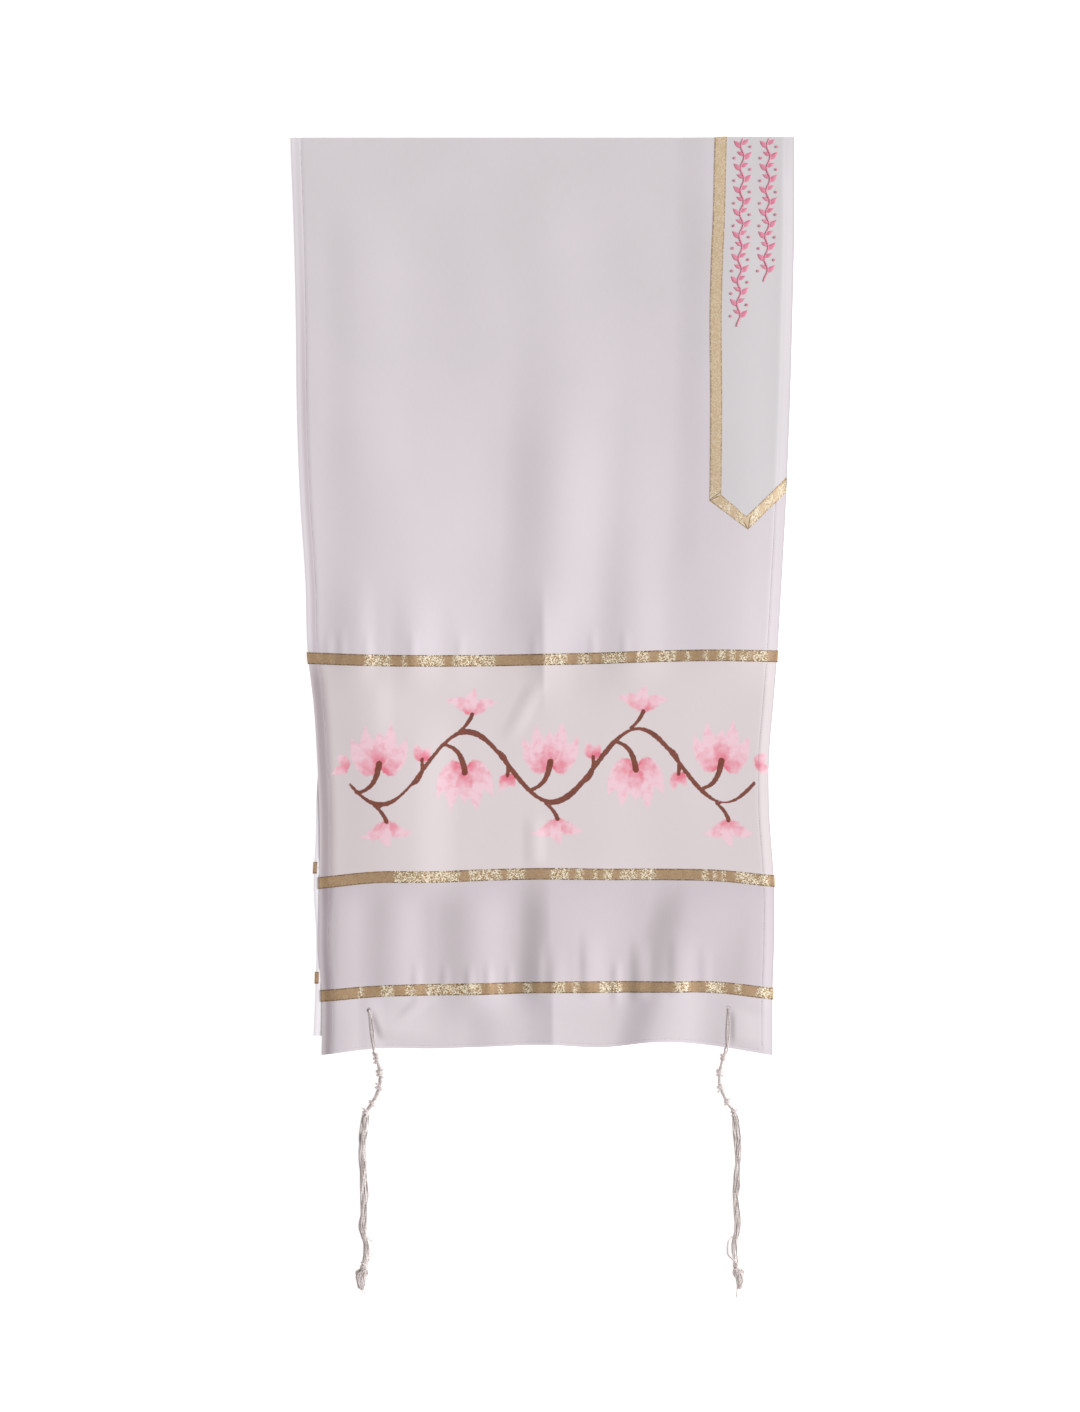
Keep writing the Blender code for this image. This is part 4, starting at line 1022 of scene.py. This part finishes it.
def band_wall(name, finish):
    """Strip over the fold whose two ends follow the pointed line at every column."""
    across = np.concatenate((np.linspace(BAND_LEFT + 0.0178, BAND_TIP, 20),
                             np.linspace(BAND_TIP, 0.974, 14)[1:],
                             1 - np.array((11.8, 11, 10.2, 8, 6, 4, 2.4, 1.2, 0.4)) / USUAL_WIDTH))
    run_below, run_turn = over_fold(rows_between((0, 2.0), (12, 5.0), (340, 1)),
                                    rows_between((0, 2.0), (12, 9.0), (340, 1)))
    run_below = np.repeat(run_below, len(across), axis=1)
    run_turn = np.repeat(run_turn, len(across), axis=1)
    front_end, back_end = (
        BAND_STRAIGHT + (point_line(across, point) - BAND_CLOTH_SHORT - BAND_STRAIGHT)
        * np.linspace(0, 1, count)[1:, None]
        for point, count in ((FRONT_POINT, 20), (BACK_POINT, 9)))
    below = np.concatenate((front_end[::-1], run_below, -back_end))
    turn = np.concatenate((np.zeros_like(front_end), run_turn, np.ones_like(back_end)))
    across = bowed(across, below, ease((BAND_TIP - across) / (BAND_TIP - BAND_LEFT)))
    edge = (1 - across) * cloth_width(below) / MM
    hem = 1 - ease((edge - 10.8) / 1.2)
    roll = 0.25 * (1 - ease(edge / 2.0)) * MM
    groove = 0.2 * np.exp(-((edge - 11.0) / 0.9) ** 2) * MM
    outer = CLOTH + TRIM_STEP - roll - groove
    layers = [cloth_point(across, below, turn, out)
              for out in (outer, np.full_like(outer, CLOTH + UNDER_TRIM) - roll)]
    uv = np.stack(np.broadcast_arrays(across * UV_WIDTH, -below - turn * 5 * MM), axis=-1)
    points, faces, uv, hems = ribbon_wall(*layers, uv, hem)
    # Painted shade: a thin dark line along the band's right edge, passed on as the rolled attribute
    painted_edge_shade = 0.65 * (1 - ease((edge - 0.8) / 1.4))
    return new_piece(name, points, faces, uv, finish,
                     {"hem": hems, "rolled": np.tile(painted_edge_shade.ravel(), 2)})


neckband = band_wall("neckband_cloth_strip", band_satin)
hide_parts("neckband")


# ------------------------------------------------------------- Neckband ribbon
# The same gold ribbon along the neckband's inner edge and round its pointed ends. It is mitred
# at each corner: folded under itself and tacked, so that a short crease crosses it.

def point_strip(point, count):
    """Across and below of the ribbon's outer and inner edge, from the right edge to the left."""
    share = np.linspace(0, 1, count, endpoint=False)[:, None]
    edges = []
    for (left, tip, right), tip_at, left_at in zip(
            point, (BAND_TIP, BAND_TIP_INNER), (BAND_LEFT, BAND_RIBBON_RIGHT)):
        stops = np.array(((1.0, right), (tip_at, tip), (left_at, left)))
        legs = [start + (end - start) * share for start, end in zip(stops, stops[1:])]
        edges.append(np.concatenate(legs) * np.array((1.0, MM)))
    return edges


front_outer, front_inner_edge = point_strip(FRONT_POINT, 26)
back_outer, back_inner_edge = point_strip(BACK_POINT, 12)
run_below, run_turn = over_fold(
    np.append(rows_between((0, 2.0), (12, 4.0), (380, 1)), 394 * MM),
    np.append(rows_between((0, 2.0), (12, 9.0), (375, 1)), 386 * MM))
run = len(run_below)
run_outer = np.concatenate((np.full((run, 1), BAND_LEFT), run_below), axis=1)
run_inner = np.concatenate((np.full((run, 1), BAND_RIBBON_RIGHT), run_below), axis=1)
run_outer[0, 1], run_outer[-1, 1] = 400 * MM, -392 * MM
flip = np.array((1.0, -1.0))
strip_outer = np.concatenate((front_outer, run_outer, back_outer[::-1] * flip))
strip_inner = np.concatenate((front_inner_edge, run_inner, back_inner_edge[::-1] * flip))
strip_turn = np.concatenate((np.zeros(len(front_outer)), run_turn[:, 0], np.ones(len(back_outer))))
width_share = np.array((0, 0.07, 0.15, 0.23, 0.3, 0.38, 0.6, 0.85, 1.0))
strip = (strip_outer[:, None, :]
         + (strip_inner - strip_outer)[:, None, :] * width_share[None, :, None])
strip_across = bowed(strip[..., 0], strip[..., 1])
# The stitches draw its outer edge down past the band's edge onto the cloth
slant = 0.62 * MM
strip_walls = []
for thick in (RIBBON_CLOTH - 0.06 * MM, 0.0):
    curl = 0.12 * MM * np.maximum(width_share * 2 - 1, 0) ** 4 * (thick > 0)
    curl = curl + slant * (1 - width_share)
    strip_walls.append(cloth_point(strip_across, strip[..., 1], strip_turn[:, None],
                                   CLOTH + TRIM_STEP + UNDER_TRIM + thick - curl))
strip_step = np.linalg.norm(np.diff(strip_walls[0][:, 3], axis=0), axis=-1)
strip_u = np.concatenate(((0.0,), np.cumsum(strip_step)))
strip_uv = np.stack(np.broadcast_arrays(strip_u[:, None], width_share * RIBBON_WIDTH), axis=-1)
# The point's legs glitter strongly and the long run only a little
on_legs = np.abs(strip[..., 1]) > 380 * MM
strip_shine = np.where(on_legs, 0.85 + 0.8 * np.sin(strip_u[:, None] * 290), 0.3)
points, faces, uv, shine = ribbon_wall(*strip_walls, strip_uv, strip_shine)
# Here the same lurex lies flatter and takes the light evenly, so it is a paler and finer copy: a
# painted highlight
lit_lurex = lurex_brocade("lit_gold_lurex", "#d9c1a1", "#c8ae8d", "#cbb08a", "#a2845f")
band_ribbon = new_piece("lurex_ribbon_neckband", points, faces, uv, lit_lurex,
                        {"glitter": shine})
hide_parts("neckband_ribbon")

# Creases of the mitres: dark brown tacking thread across the ribbon at each corner, which also lays
# the crease's painted shade as a dark line
tack_thread = spun_thread("brown_tacking_thread", "#7d5f42", "#54402d", 0.9 * MM)
tacks = []
for corner_outer, corner_inner, reach in (
        ((BAND_LEFT, 400.0), (BAND_RIBBON_RIGHT, 394.0), 1.0),
        ((BAND_LEFT + 0.001, 399.0), (BAND_LEFT + 0.021, 391.0), 0.9),
        ((BAND_TIP, 432.0), (BAND_TIP + 0.0035, 417.0), 1.0),
        ((BAND_TIP - 0.001, 431.0), (BAND_TIP - 0.009, 424.0), 0.3),
        ((0.9985, 389.5), (0.9985, 374.5), 1.0)):
    share = np.linspace(0.02, 0.98, 8)
    ends = np.array((corner_outer, corner_inner))
    spots = ends[0] + (ends[1] - ends[0]) * share[:, None]
    line = cloth_point(spots[:, 0], spots[:, 1] * MM, 0.0, CLOTH + TRIM_STEP + UNDER_TRIM
                       + RIBBON_CLOTH - slant * (1 - share * reach))
    tacks.append(tubes(line[None], 0.28 * MM * np.sin(np.pi * share) ** 0.3, 5))
mitres = new_piece("mitre_tacking", *joined(*tacks), tack_thread)


# ------------------------------------------------------------------ Embroidery
# Two rows of machine embroidery on the neckband in pink rayon thread: a stem stitch that winds
# down each row, with satin-stitched leaves on both sides and a knot at each leaf's tip.

# Each row in mm: distance from the right edge, half its width, and where it ends below the fold
EMBROIDERY_ROWS = ((56.5, 10.0, 208.0), (28.0, 10.0, 158.0))
LEAF_PITCH = 12.5


def satin_leaf(base, tip, half_width, rows=12, columns=7):
    """A padded leaf on the neckband, from base to tip given as mm from the edge and below.

    Half its width follows sin(pi s^0.8), and its height is a half circle across the width.
    """
    s = np.linspace(0.02, 0.98, rows)[:, None]
    t = np.linspace(-1, 1, columns)
    base, tip = np.array(base, float), np.array(tip, float)
    along = tip - base
    aside = np.array((-along[1], along[0])) / np.linalg.norm(along)
    width = half_width * np.sin(np.pi * s ** 0.8)
    spots = base + along * s[..., None] + aside * (width * t)[..., None]
    height = np.broadcast_to(0.62 * np.sqrt(np.clip(1 - t**2, 0, 1)), (rows, columns)) * (
        np.sin(np.pi * s) ** 0.4)
    uv = np.stack(np.broadcast_arrays(s * np.linalg.norm(along) * MM, t * half_width * MM), -1)
    return spots, height, uv


def on_neckband(spots, height):
    """World points from mm from the right edge, mm below the fold, and height over the band."""
    below = spots[..., 1] * MM
    turn = np.clip(0.5 - below / (5 * MM), 0.0, 0.5)
    held = np.maximum(below, 0.0)
    across = bowed(1 - spots[..., 0] * MM / cloth_width(held), held, 0.6)
    return cloth_point(across, held, np.where(below < 2.5 * MM, turn, 0.0),
                       CLOTH + TRIM_STEP + height * MM)


def rayon_thread(name, light, dark):
    """Rayon embroidery thread laid side by side: a soft gloss across fine parallel ridges.

    The threads are 0.4 mm wide and are drawn 1.1 mm wide.
    """
    material, tree, shader = new_material(name, {"Roughness": 0.42, "Sheen Weight": 0.2})
    ridges = node(tree, "ShaderNodeTexWave",
                  {"Vector": coordinates(tree, "UV"), "Scale": 390.0, "Distortion": 1.0,
                   "Detail": 1.0}, bands_direction="DIAGONAL").outputs["Fac"]
    place = coordinates(tree, "Object")
    # Painted shade and sheen: the colour runs dark in the troughs between the laid threads and
    # light along their crests, varied at random by a noise
    tone = maths(tree, "MULTIPLY", ridges, noise(tree, place, 160.0))
    colour = mixed(tree, ranged(tree, tone, 0.05, 0.5), dark, light)
    dress(tree, shader, colour, ridges, 0.5, 0.1)
    return material


pink_rayon = rayon_thread("pink_rayon_embroidery", "#e8a3b5", "#c9627f")
for number, (middle, half, end) in enumerate(EMBROIDERY_ROWS):
    parts = []
    start = 1.5
    reach = end - start
    t = np.linspace(0, 1, 120)
    stem = np.stack((middle + 2.0 * np.sin(2 * np.pi * t * reach / (2 * LEAF_PITCH)),
                     start + reach * t), -1)
    stem_points = on_neckband(stem, 0.35)
    parts.append(tubes(stem_points[None], 0.95 * MM, 6, flatten=0.6))
    leaf_count = int(reach / LEAF_PITCH)
    for leaf in range(leaf_count):
        place = start + (leaf + 0.5) * LEAF_PITCH
        side = -1 if leaf % 2 else 1
        root = middle + side * 1.6
        for way, length, width in ((side, half, 2.9), (-side, half * 0.66, 2.2)):
            base = (root, place + (2.5 if way == side else -1.5))
            tip = (middle + way * length, place - 5.5 if way == side else place - 6.0)
            spots, height, leaf_uv = satin_leaf(base, tip, width)
            outer = on_neckband(spots, height)
            inner = on_neckband(spots, np.full_like(height, -0.1))
            leaf_points, leaf_faces, leaf_uv, _ = ribbon_wall(
                outer[::-way], inner[::-way], leaf_uv[::-way], height)
            parts.append((leaf_points, leaf_faces, leaf_uv))
        knot = (middle - side * half * 0.86, place + 1.2)
        turns = np.linspace(0, 2 * np.pi, 13)
        ring = np.stack((knot[0] + 0.75 * np.cos(turns), knot[1] + 0.75 * np.sin(turns)), -1)
        parts.append(tubes(on_neckband(ring, 0.45)[None], 0.8 * MM, 6))
    sprigs = new_piece(f"embroidered_sprigs_{number + 1}", *joined(*parts), pink_rayon)


# --------------------------------------------------------------------- Tassels
# Four tassels of ivory two-ply wool, eight ends each, tied by hand. The threads go through the
# eyelet and over the hem, are knotted and wound below it, hang loose, and end in a frayed tuft.

KNOTS = np.array((
    (9.6, 55.0, 3.8, 2.4, 3.4), (13.4, 70.0, 4.4, 2.4, 3.8), (12.4, 86.5, 4.2, 2.4, 3.6),
    (5.0, 103.0, 3.9, 2.4, 3.2), (-2.2, 113.5, 3.9, 2.4, 3.6),
))
END_KNOT = np.array((-4.4, 283.0, 3.7, 2.2, 4.2))
# Middle of the loose ends, in mm: inward, down, half_width, lift (1 at a knot's height)
STRANDS = np.array((
    (-2.2, 112.5, 2.0, 1.0), (-4.0, 126.0, 2.9, 0.3), (-6.3, 150.0, 2.7, 0.0),
    (-5.6, 181.0, 2.4, 0.0), (-4.2, 204.0, 3.1, 0.0), (-4.8, 222.0, 2.1, 0.0),
    (-6.4, 238.0, 2.7, 0.1), (-2.2, 262.0, 2.0, 0.9), (-4.4, 283.0, 1.9, 1.0),
    (-7.6, 296.0, 3.9, 0.3), (-7.8, 308.0, 1.2, 0.0),
))
KNOT_Z = {"front": 7.3, "back": 2.6}
STRAND_Z = {"front": 3.75, "back": 0.95}

tassel_wool = spun_thread("ivory_tassel_wool", "#f2eae7", "#beb2ae", 3.2 * MM)
# Wound tight, the same wool is a paler copy: smaller gaps of painted shade between its plies, and a
# painted highlight over all
lit_wound_wool = spun_thread("lit_ivory_wool", "#f4ecea", "#d6cbc8", 3.2 * MM)
# Pulled tight over the cloth, the same wool is a darker copy, painted shade, so it looks no lighter
# than the cloth
shaded_wool = spun_thread("shaded_ivory_wool", "#e9e0dd", "#b7aba9", 3.2 * MM)


def tassel_points(origin, side, inward, down, z):
    """World points from mm inward and down from the eyelet, and mm over the floor."""
    inward, down, z = np.broadcast_arrays(inward, down, z)
    return np.stack((origin[0] - side * inward * MM, origin[1] - down * MM, z * MM), -1)


def wound_core(origin, side, knots, knot_z):
    """The threads' core through the knots, and the thread wound round it between them."""
    down = np.linspace(knots[0, 1], knots[-1, 1], 80)
    inward = smooth_between(knots[:, 1], knots[:, 0], down)
    core = tassel_points(origin, side, inward, down, knot_z)
    pieces = [tubes(core[None], 1.5 * MM * ease((down - down[0] + 4) / 12), 8)]
    turns = 2 * np.pi * np.linspace(0, 46, 900)
    spot = np.linspace(knots[1, 1] - 8, knots[-1, 1], 900)
    middle = smooth_between(knots[:, 1], knots[:, 0], spot)
    swell = 1.65 + 0.25 * np.sin(spot * 0.9) + 0.12 * np.sin(spot * 2.3)
    coil = tassel_points(origin, side, middle + swell * np.cos(turns), spot,
                         knot_z + swell * np.sin(turns))
    centre = tassel_points(origin, side, middle, spot, knot_z)
    pieces.append(tubes(coil[None], 0.45 * MM, 5, up=(coil - centre)[None]))
    return pieces


def tied_knot(origin, side, knot, knot_z, seed):
    """A double knot: threads that wrap round it on the slant and cross over its front.

    Each is a closed loop round an oval, tilted by its own angle, with a slow in and out.
    """
    pieces = []
    inward, down, half_width, half_height, half_length = knot
    turn = np.linspace(0, 2 * np.pi, 25)
    for strand in range(5):
        tilt = (-0.7, -0.25, 0.15, 0.55, 0.9)[strand] * (1 if (seed + strand) % 2 else -1)
        shift = (strand - 2) * half_length * 0.30
        ripple = 1 + 0.08 * np.sin(3 * turn + seed + strand)
        a = (half_width - 0.75) * ripple * np.cos(turn)
        path = tassel_points(origin, side, inward + a * math.cos(tilt * 0.6),
                             down + shift + a * math.sin(tilt),
                             knot_z + (half_height - 0.75) * ripple * np.sin(turn))
        pieces.append(tubes(path[None], 0.8 * MM, 6, up=(path - path.mean(axis=0))[None]))
    return pieces


def loose_ends(origin, side, shift, knot_z, strand_z, rng):
    """Sixteen plies that wander round the bundle's middle, and one thread that stands away.

    Each ply's offset is the half width times cos of a phase that advances down the bundle,
    and its height follows the sine of the same phase. A flat tube fills the bundle's heart.
    """
    down = np.linspace(STRANDS[0, 1], STRANDS[-1, 1], 110)
    inward, half, lift = (smooth_between(STRANDS[:, 1], STRANDS[:, k], down) for k in (0, 2, 3))
    inward = inward - shift
    paths = []
    for strand in range(16):
        phase = 2 * np.pi * (strand / 16 + (down - 112) / 150.0 * (1 if strand % 2 else -0.6))
        wander = rng.uniform(0.5, 1.0) * np.sin(down / rng.uniform(5, 14) + rng.uniform(0, 6))
        offset = half * np.cos(phase) + wander
        low = strand_z + 0.9 + 0.95 * np.sin(phase)
        high = knot_z + 0.9 * np.sin(phase)
        if strand == 0:
            away = ease((down - 243) / 14) * ease((281 - down) / 12)
            offset = offset * (1 - away) + 7.4 * away
        z = low + (high - low) * lift
        paths.append(tassel_points(origin, side, inward + offset, down, z))
    radius = rng.uniform(0.36, 0.58, (16, 1)) + 0.07 * np.sin(
        down[None] / 3.1 + np.arange(16)[:, None])
    radius[0] = 0.6
    radius = radius * np.where(down > 300, 0.75, 1.0)
    heart = tassel_points(origin, side, inward, down,
                          strand_z + 0.75 + (knot_z - strand_z - 0.75) * lift)
    return [tubes(np.array(paths), radius * MM, 5),
            tubes(heart[None], half * 0.6 * MM * np.where(down > 290, 0.6, 1.0), 8, flatten=0.2)]


def frayed_tuft(origin, side, shift, knot_z, strand_z, rng):
    """Fine fibres that spread below the end knot, kept inside the tuft's teardrop outline."""
    count = 44
    t = np.linspace(0, 1, 12)
    spread = rng.uniform(-1, 1, (count, 1))
    level = rng.uniform(0, 1, (count, 1))
    length = rng.uniform(13, 25.5, (count, 1)) - 3.0 * spread ** 2
    shape = smooth_between((0, 0.3, 0.65, 1.0), (1.2, 5.4, 3.9, 1.3), t)
    inward = END_KNOT[0] - shift - 4.2 * ease(t * 1.6) + spread * shape + 0.5 * np.sin(
        t * 9 + rng.uniform(0, 6, (count, 1))) * t
    down = END_KNOT[1] + 1.5 + length * t
    low = strand_z - 0.35 + level * (2.2 + 1.2 * (1 - t))
    high = knot_z + (level - 0.5) * 2.0
    z = low + (high - low) * (1 - ease(t * 2.2))
    fibres = tubes(tassel_points(origin, side, inward, down, z), 0.3 * MM, 4)
    hair_t = np.linspace(0, 1, 14)
    hair = tassel_points(origin, side, END_KNOT[0] - shift - 1.0 - 0.6 * np.sin(hair_t * 5),
                         END_KNOT[1] + 12 + 23.5 * hair_t, strand_z + 0.4 * (1 - hair_t))
    return [fibres, tubes(hair[None], 0.5 * MM, 4)]


def fuzz(origin, side, shift, strand_z, rng):
    """Short fibres that stand out of the wool along its whole length."""
    count = 150
    down = rng.uniform(60, 290, (count, 1))
    inward = smooth_between(np.append(KNOTS[:, 1], STRANDS[1:, 1]),
                            np.append(KNOTS[:, 0], STRANDS[1:, 0]), down) - shift
    half = np.where(down < 113, 1.4, 3.0)
    start = rng.uniform(-1, 1, (count, 1))
    t = np.linspace(0, 1, 5)
    reach = rng.uniform(-1.6, 1.6, (count, 1))
    x = inward + start * half + reach * t + 0.5 * np.sin(3 * t + start * 3)
    y = down + rng.uniform(-2.5, 2.5, (count, 1)) * t
    level = np.where(down < 113, strand_z + 3.6, strand_z + 0.9)
    z = level + rng.uniform(0.0, 0.8, (count, 1)) + 0.6 * t
    return [tubes(tassel_points(origin, side, x, y, z), 0.055 * MM, 3)]


def eyelet_loop(place, first_knot):
    """Four threads from the first knot over the hem into the eyelet, and back under the cloth."""
    eyelet = EYELETS[place]
    turn = 0.0 if eyelet[1] > 0 else 1.0
    outward = 1.0 if turn == 0.0 else -1.0
    sign = np.sign(eyelet[1])
    hem = (FRONT_HEM if turn == 0.0 else BACK_HEM) * sign
    paths = []
    share = np.array((1.0, 0.8, 0.6, 0.4, 0.22, 0.08))
    for strand in range(4):
        legs = []
        apart = (strand - 1.5) * (0.55, 0.8, 0.62, 0.9)[strand]
        for out, shift in ((CLOTH + 0.42 * MM + 0.18 * MM * (strand % 2), 0.7),
                           (-0.5 * MM, -0.7)):
            fan = apart * (0.35 + 1.1 * np.sin(np.pi * share)) + 0.2 * np.sin(share * 6 + strand)
            across = (eyelet[0] + (eyelet[2] - eyelet[0]) * share
                      + fan * MM / cloth_width(np.float64(eyelet[1])))
            below = eyelet[1] + (hem - eyelet[1]) * share
            leg = cloth_point(across, below, turn, out)
            past = leg[0] - np.array((0.0, 3.5 * MM, 0.0))
            knot = first_knot + np.array((apart * 0.35, 0.0, outward * shift)) * (
                MM, 1.0, MM)
            between = (past + knot) / 2 + np.array((apart * 0.1 * MM, 0, 0))
            legs.append(np.concatenate(((knot, between, past), leg)))
        centre = cloth_point(eyelet[0], eyelet[1], turn, CLOTH / 2)
        bend = np.array(((1.9, 1.3), (0.9, 0.8), (0.5, 0.0), (0.9, -0.8), (1.9, -1.3)))
        through = centre + np.stack((np.full(5, apart * 0.35), -bend[:, 0],
                                     outward * bend[:, 1]), -1) * MM
        control = np.concatenate((legs[0], through, legs[1][::-1]))
        step = np.linalg.norm(np.diff(control, axis=0), axis=-1)
        length = np.concatenate(((0.0,), np.cumsum(step)))
        at = np.linspace(0, length[-1], 90)
        paths.append(np.stack([smooth_between(length, control[:, k], at) for k in range(3)], -1))
    return [tubes(np.array(paths), 0.46 * MM, 6, up=(1.0, 0.02, 0.02))]


for number, place in enumerate(EYELETS):
    rng = np.random.default_rng(31 + number)
    half = place.split("_")[0]
    side = -1 if place.endswith("left") else 1
    eyelet = EYELETS[place]
    origin = cloth_point(eyelet[0], eyelet[1], 0.0 if half == "front" else 1.0, 0.0)
    knot_z, strand_z = KNOT_Z[half], STRAND_Z[half]
    # The right-hand tassels hang a little further out than the left-hand ones
    shift = 4.4 if side > 0 else 0.0
    knots = KNOTS - np.array((shift, 0, 0, 0, 0))
    end_knot = END_KNOT - np.array((shift, 0, 0, 0, 0))
    hem_inward = -side * (eyelet[2] - eyelet[0]) * 495
    first_knot = tassel_points(origin, side, knots[0, 0], knots[0, 1], knot_z)
    above = np.array(((hem_inward * 0.55 + knots[0, 0] * 0.45, 48.0, 0, 0, 0),))
    wound = wound_core(origin, side, np.concatenate((above, knots)), knot_z)
    for index, knot in enumerate(knots):
        wound += tied_knot(origin, side, knot, knot_z, index + number)
    pulled = new_piece("eyelet_threads_" + place,
                       *joined(*eyelet_loop(place, first_knot)), shaded_wool)
    winding = new_piece("wound_threads_" + place, *joined(*wound), lit_wound_wool)
    parts = tied_knot(origin, side, end_knot, knot_z, number)
    parts += loose_ends(origin, side, shift, knot_z, strand_z, rng)
    parts += frayed_tuft(origin, side, shift, knot_z, strand_z, rng)
    parts += fuzz(origin, side, shift, strand_z, rng)
    tassel = new_piece("wool_tassel_" + place, *joined(*parts), tassel_wool)
    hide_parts("tassel_" + place)


# ---------------------------------------------------------------------- Studio
# A white light table, a broad soft light low from the right and an even fill, seen from
# straight above.

floor_mesh = bpy.data.meshes.new("floor")
floor_mesh.from_pydata([(-3, -3, -0.0002), (3, -3, -0.0002), (3, 3, -0.0002), (-3, 3, -0.0002)],
                       [], [(0, 1, 2, 3)])
floor = bpy.data.objects.new("floor", floor_mesh)
bpy.context.scene.collection.objects.link(floor)
floor_mesh.materials.append(new_material("white_table_laminate", {
    "Base Color": (0.93, 0.93, 0.93, 1.0), "Roughness": 0.9, "Specular IOR Level": 0.1,
    "Emission Color": (1.0, 1.0, 1.0, 1.0), "Emission Strength": 0.55})[0])

world = bpy.data.worlds.new("studio")
bpy.context.scene.world = world
world.use_nodes = True
world.node_tree.nodes["Background"].inputs["Color"].default_value = (1.0, 0.98, 0.985, 1.0)
world.node_tree.nodes["Background"].inputs["Strength"].default_value = 0.5

key_data = bpy.data.lights.new("key", "SUN")
key_data.energy = 3.15
key_data.angle = math.radians(26)
key_data.color = (0.995, 0.99, 1.0)
key = bpy.data.objects.new("key", key_data)
key.rotation_euler = (math.radians(-4), math.radians(58), 0.0)
bpy.context.scene.collection.objects.link(key)

camera_data = bpy.data.cameras.new("camera")
camera_data.sensor_fit = "VERTICAL"
camera_data.sensor_height = 36.0
camera_data.lens = 36.0 * 4.0 / 1.5532
camera_data.clip_end = 50.0
camera = bpy.data.objects.new("camera", camera_data)
camera.location = (-0.0024, 0.0082, 4.0)
bpy.context.scene.collection.objects.link(camera)
bpy.context.scene.camera = camera
bpy.context.scene.view_settings.view_transform = "Standard"
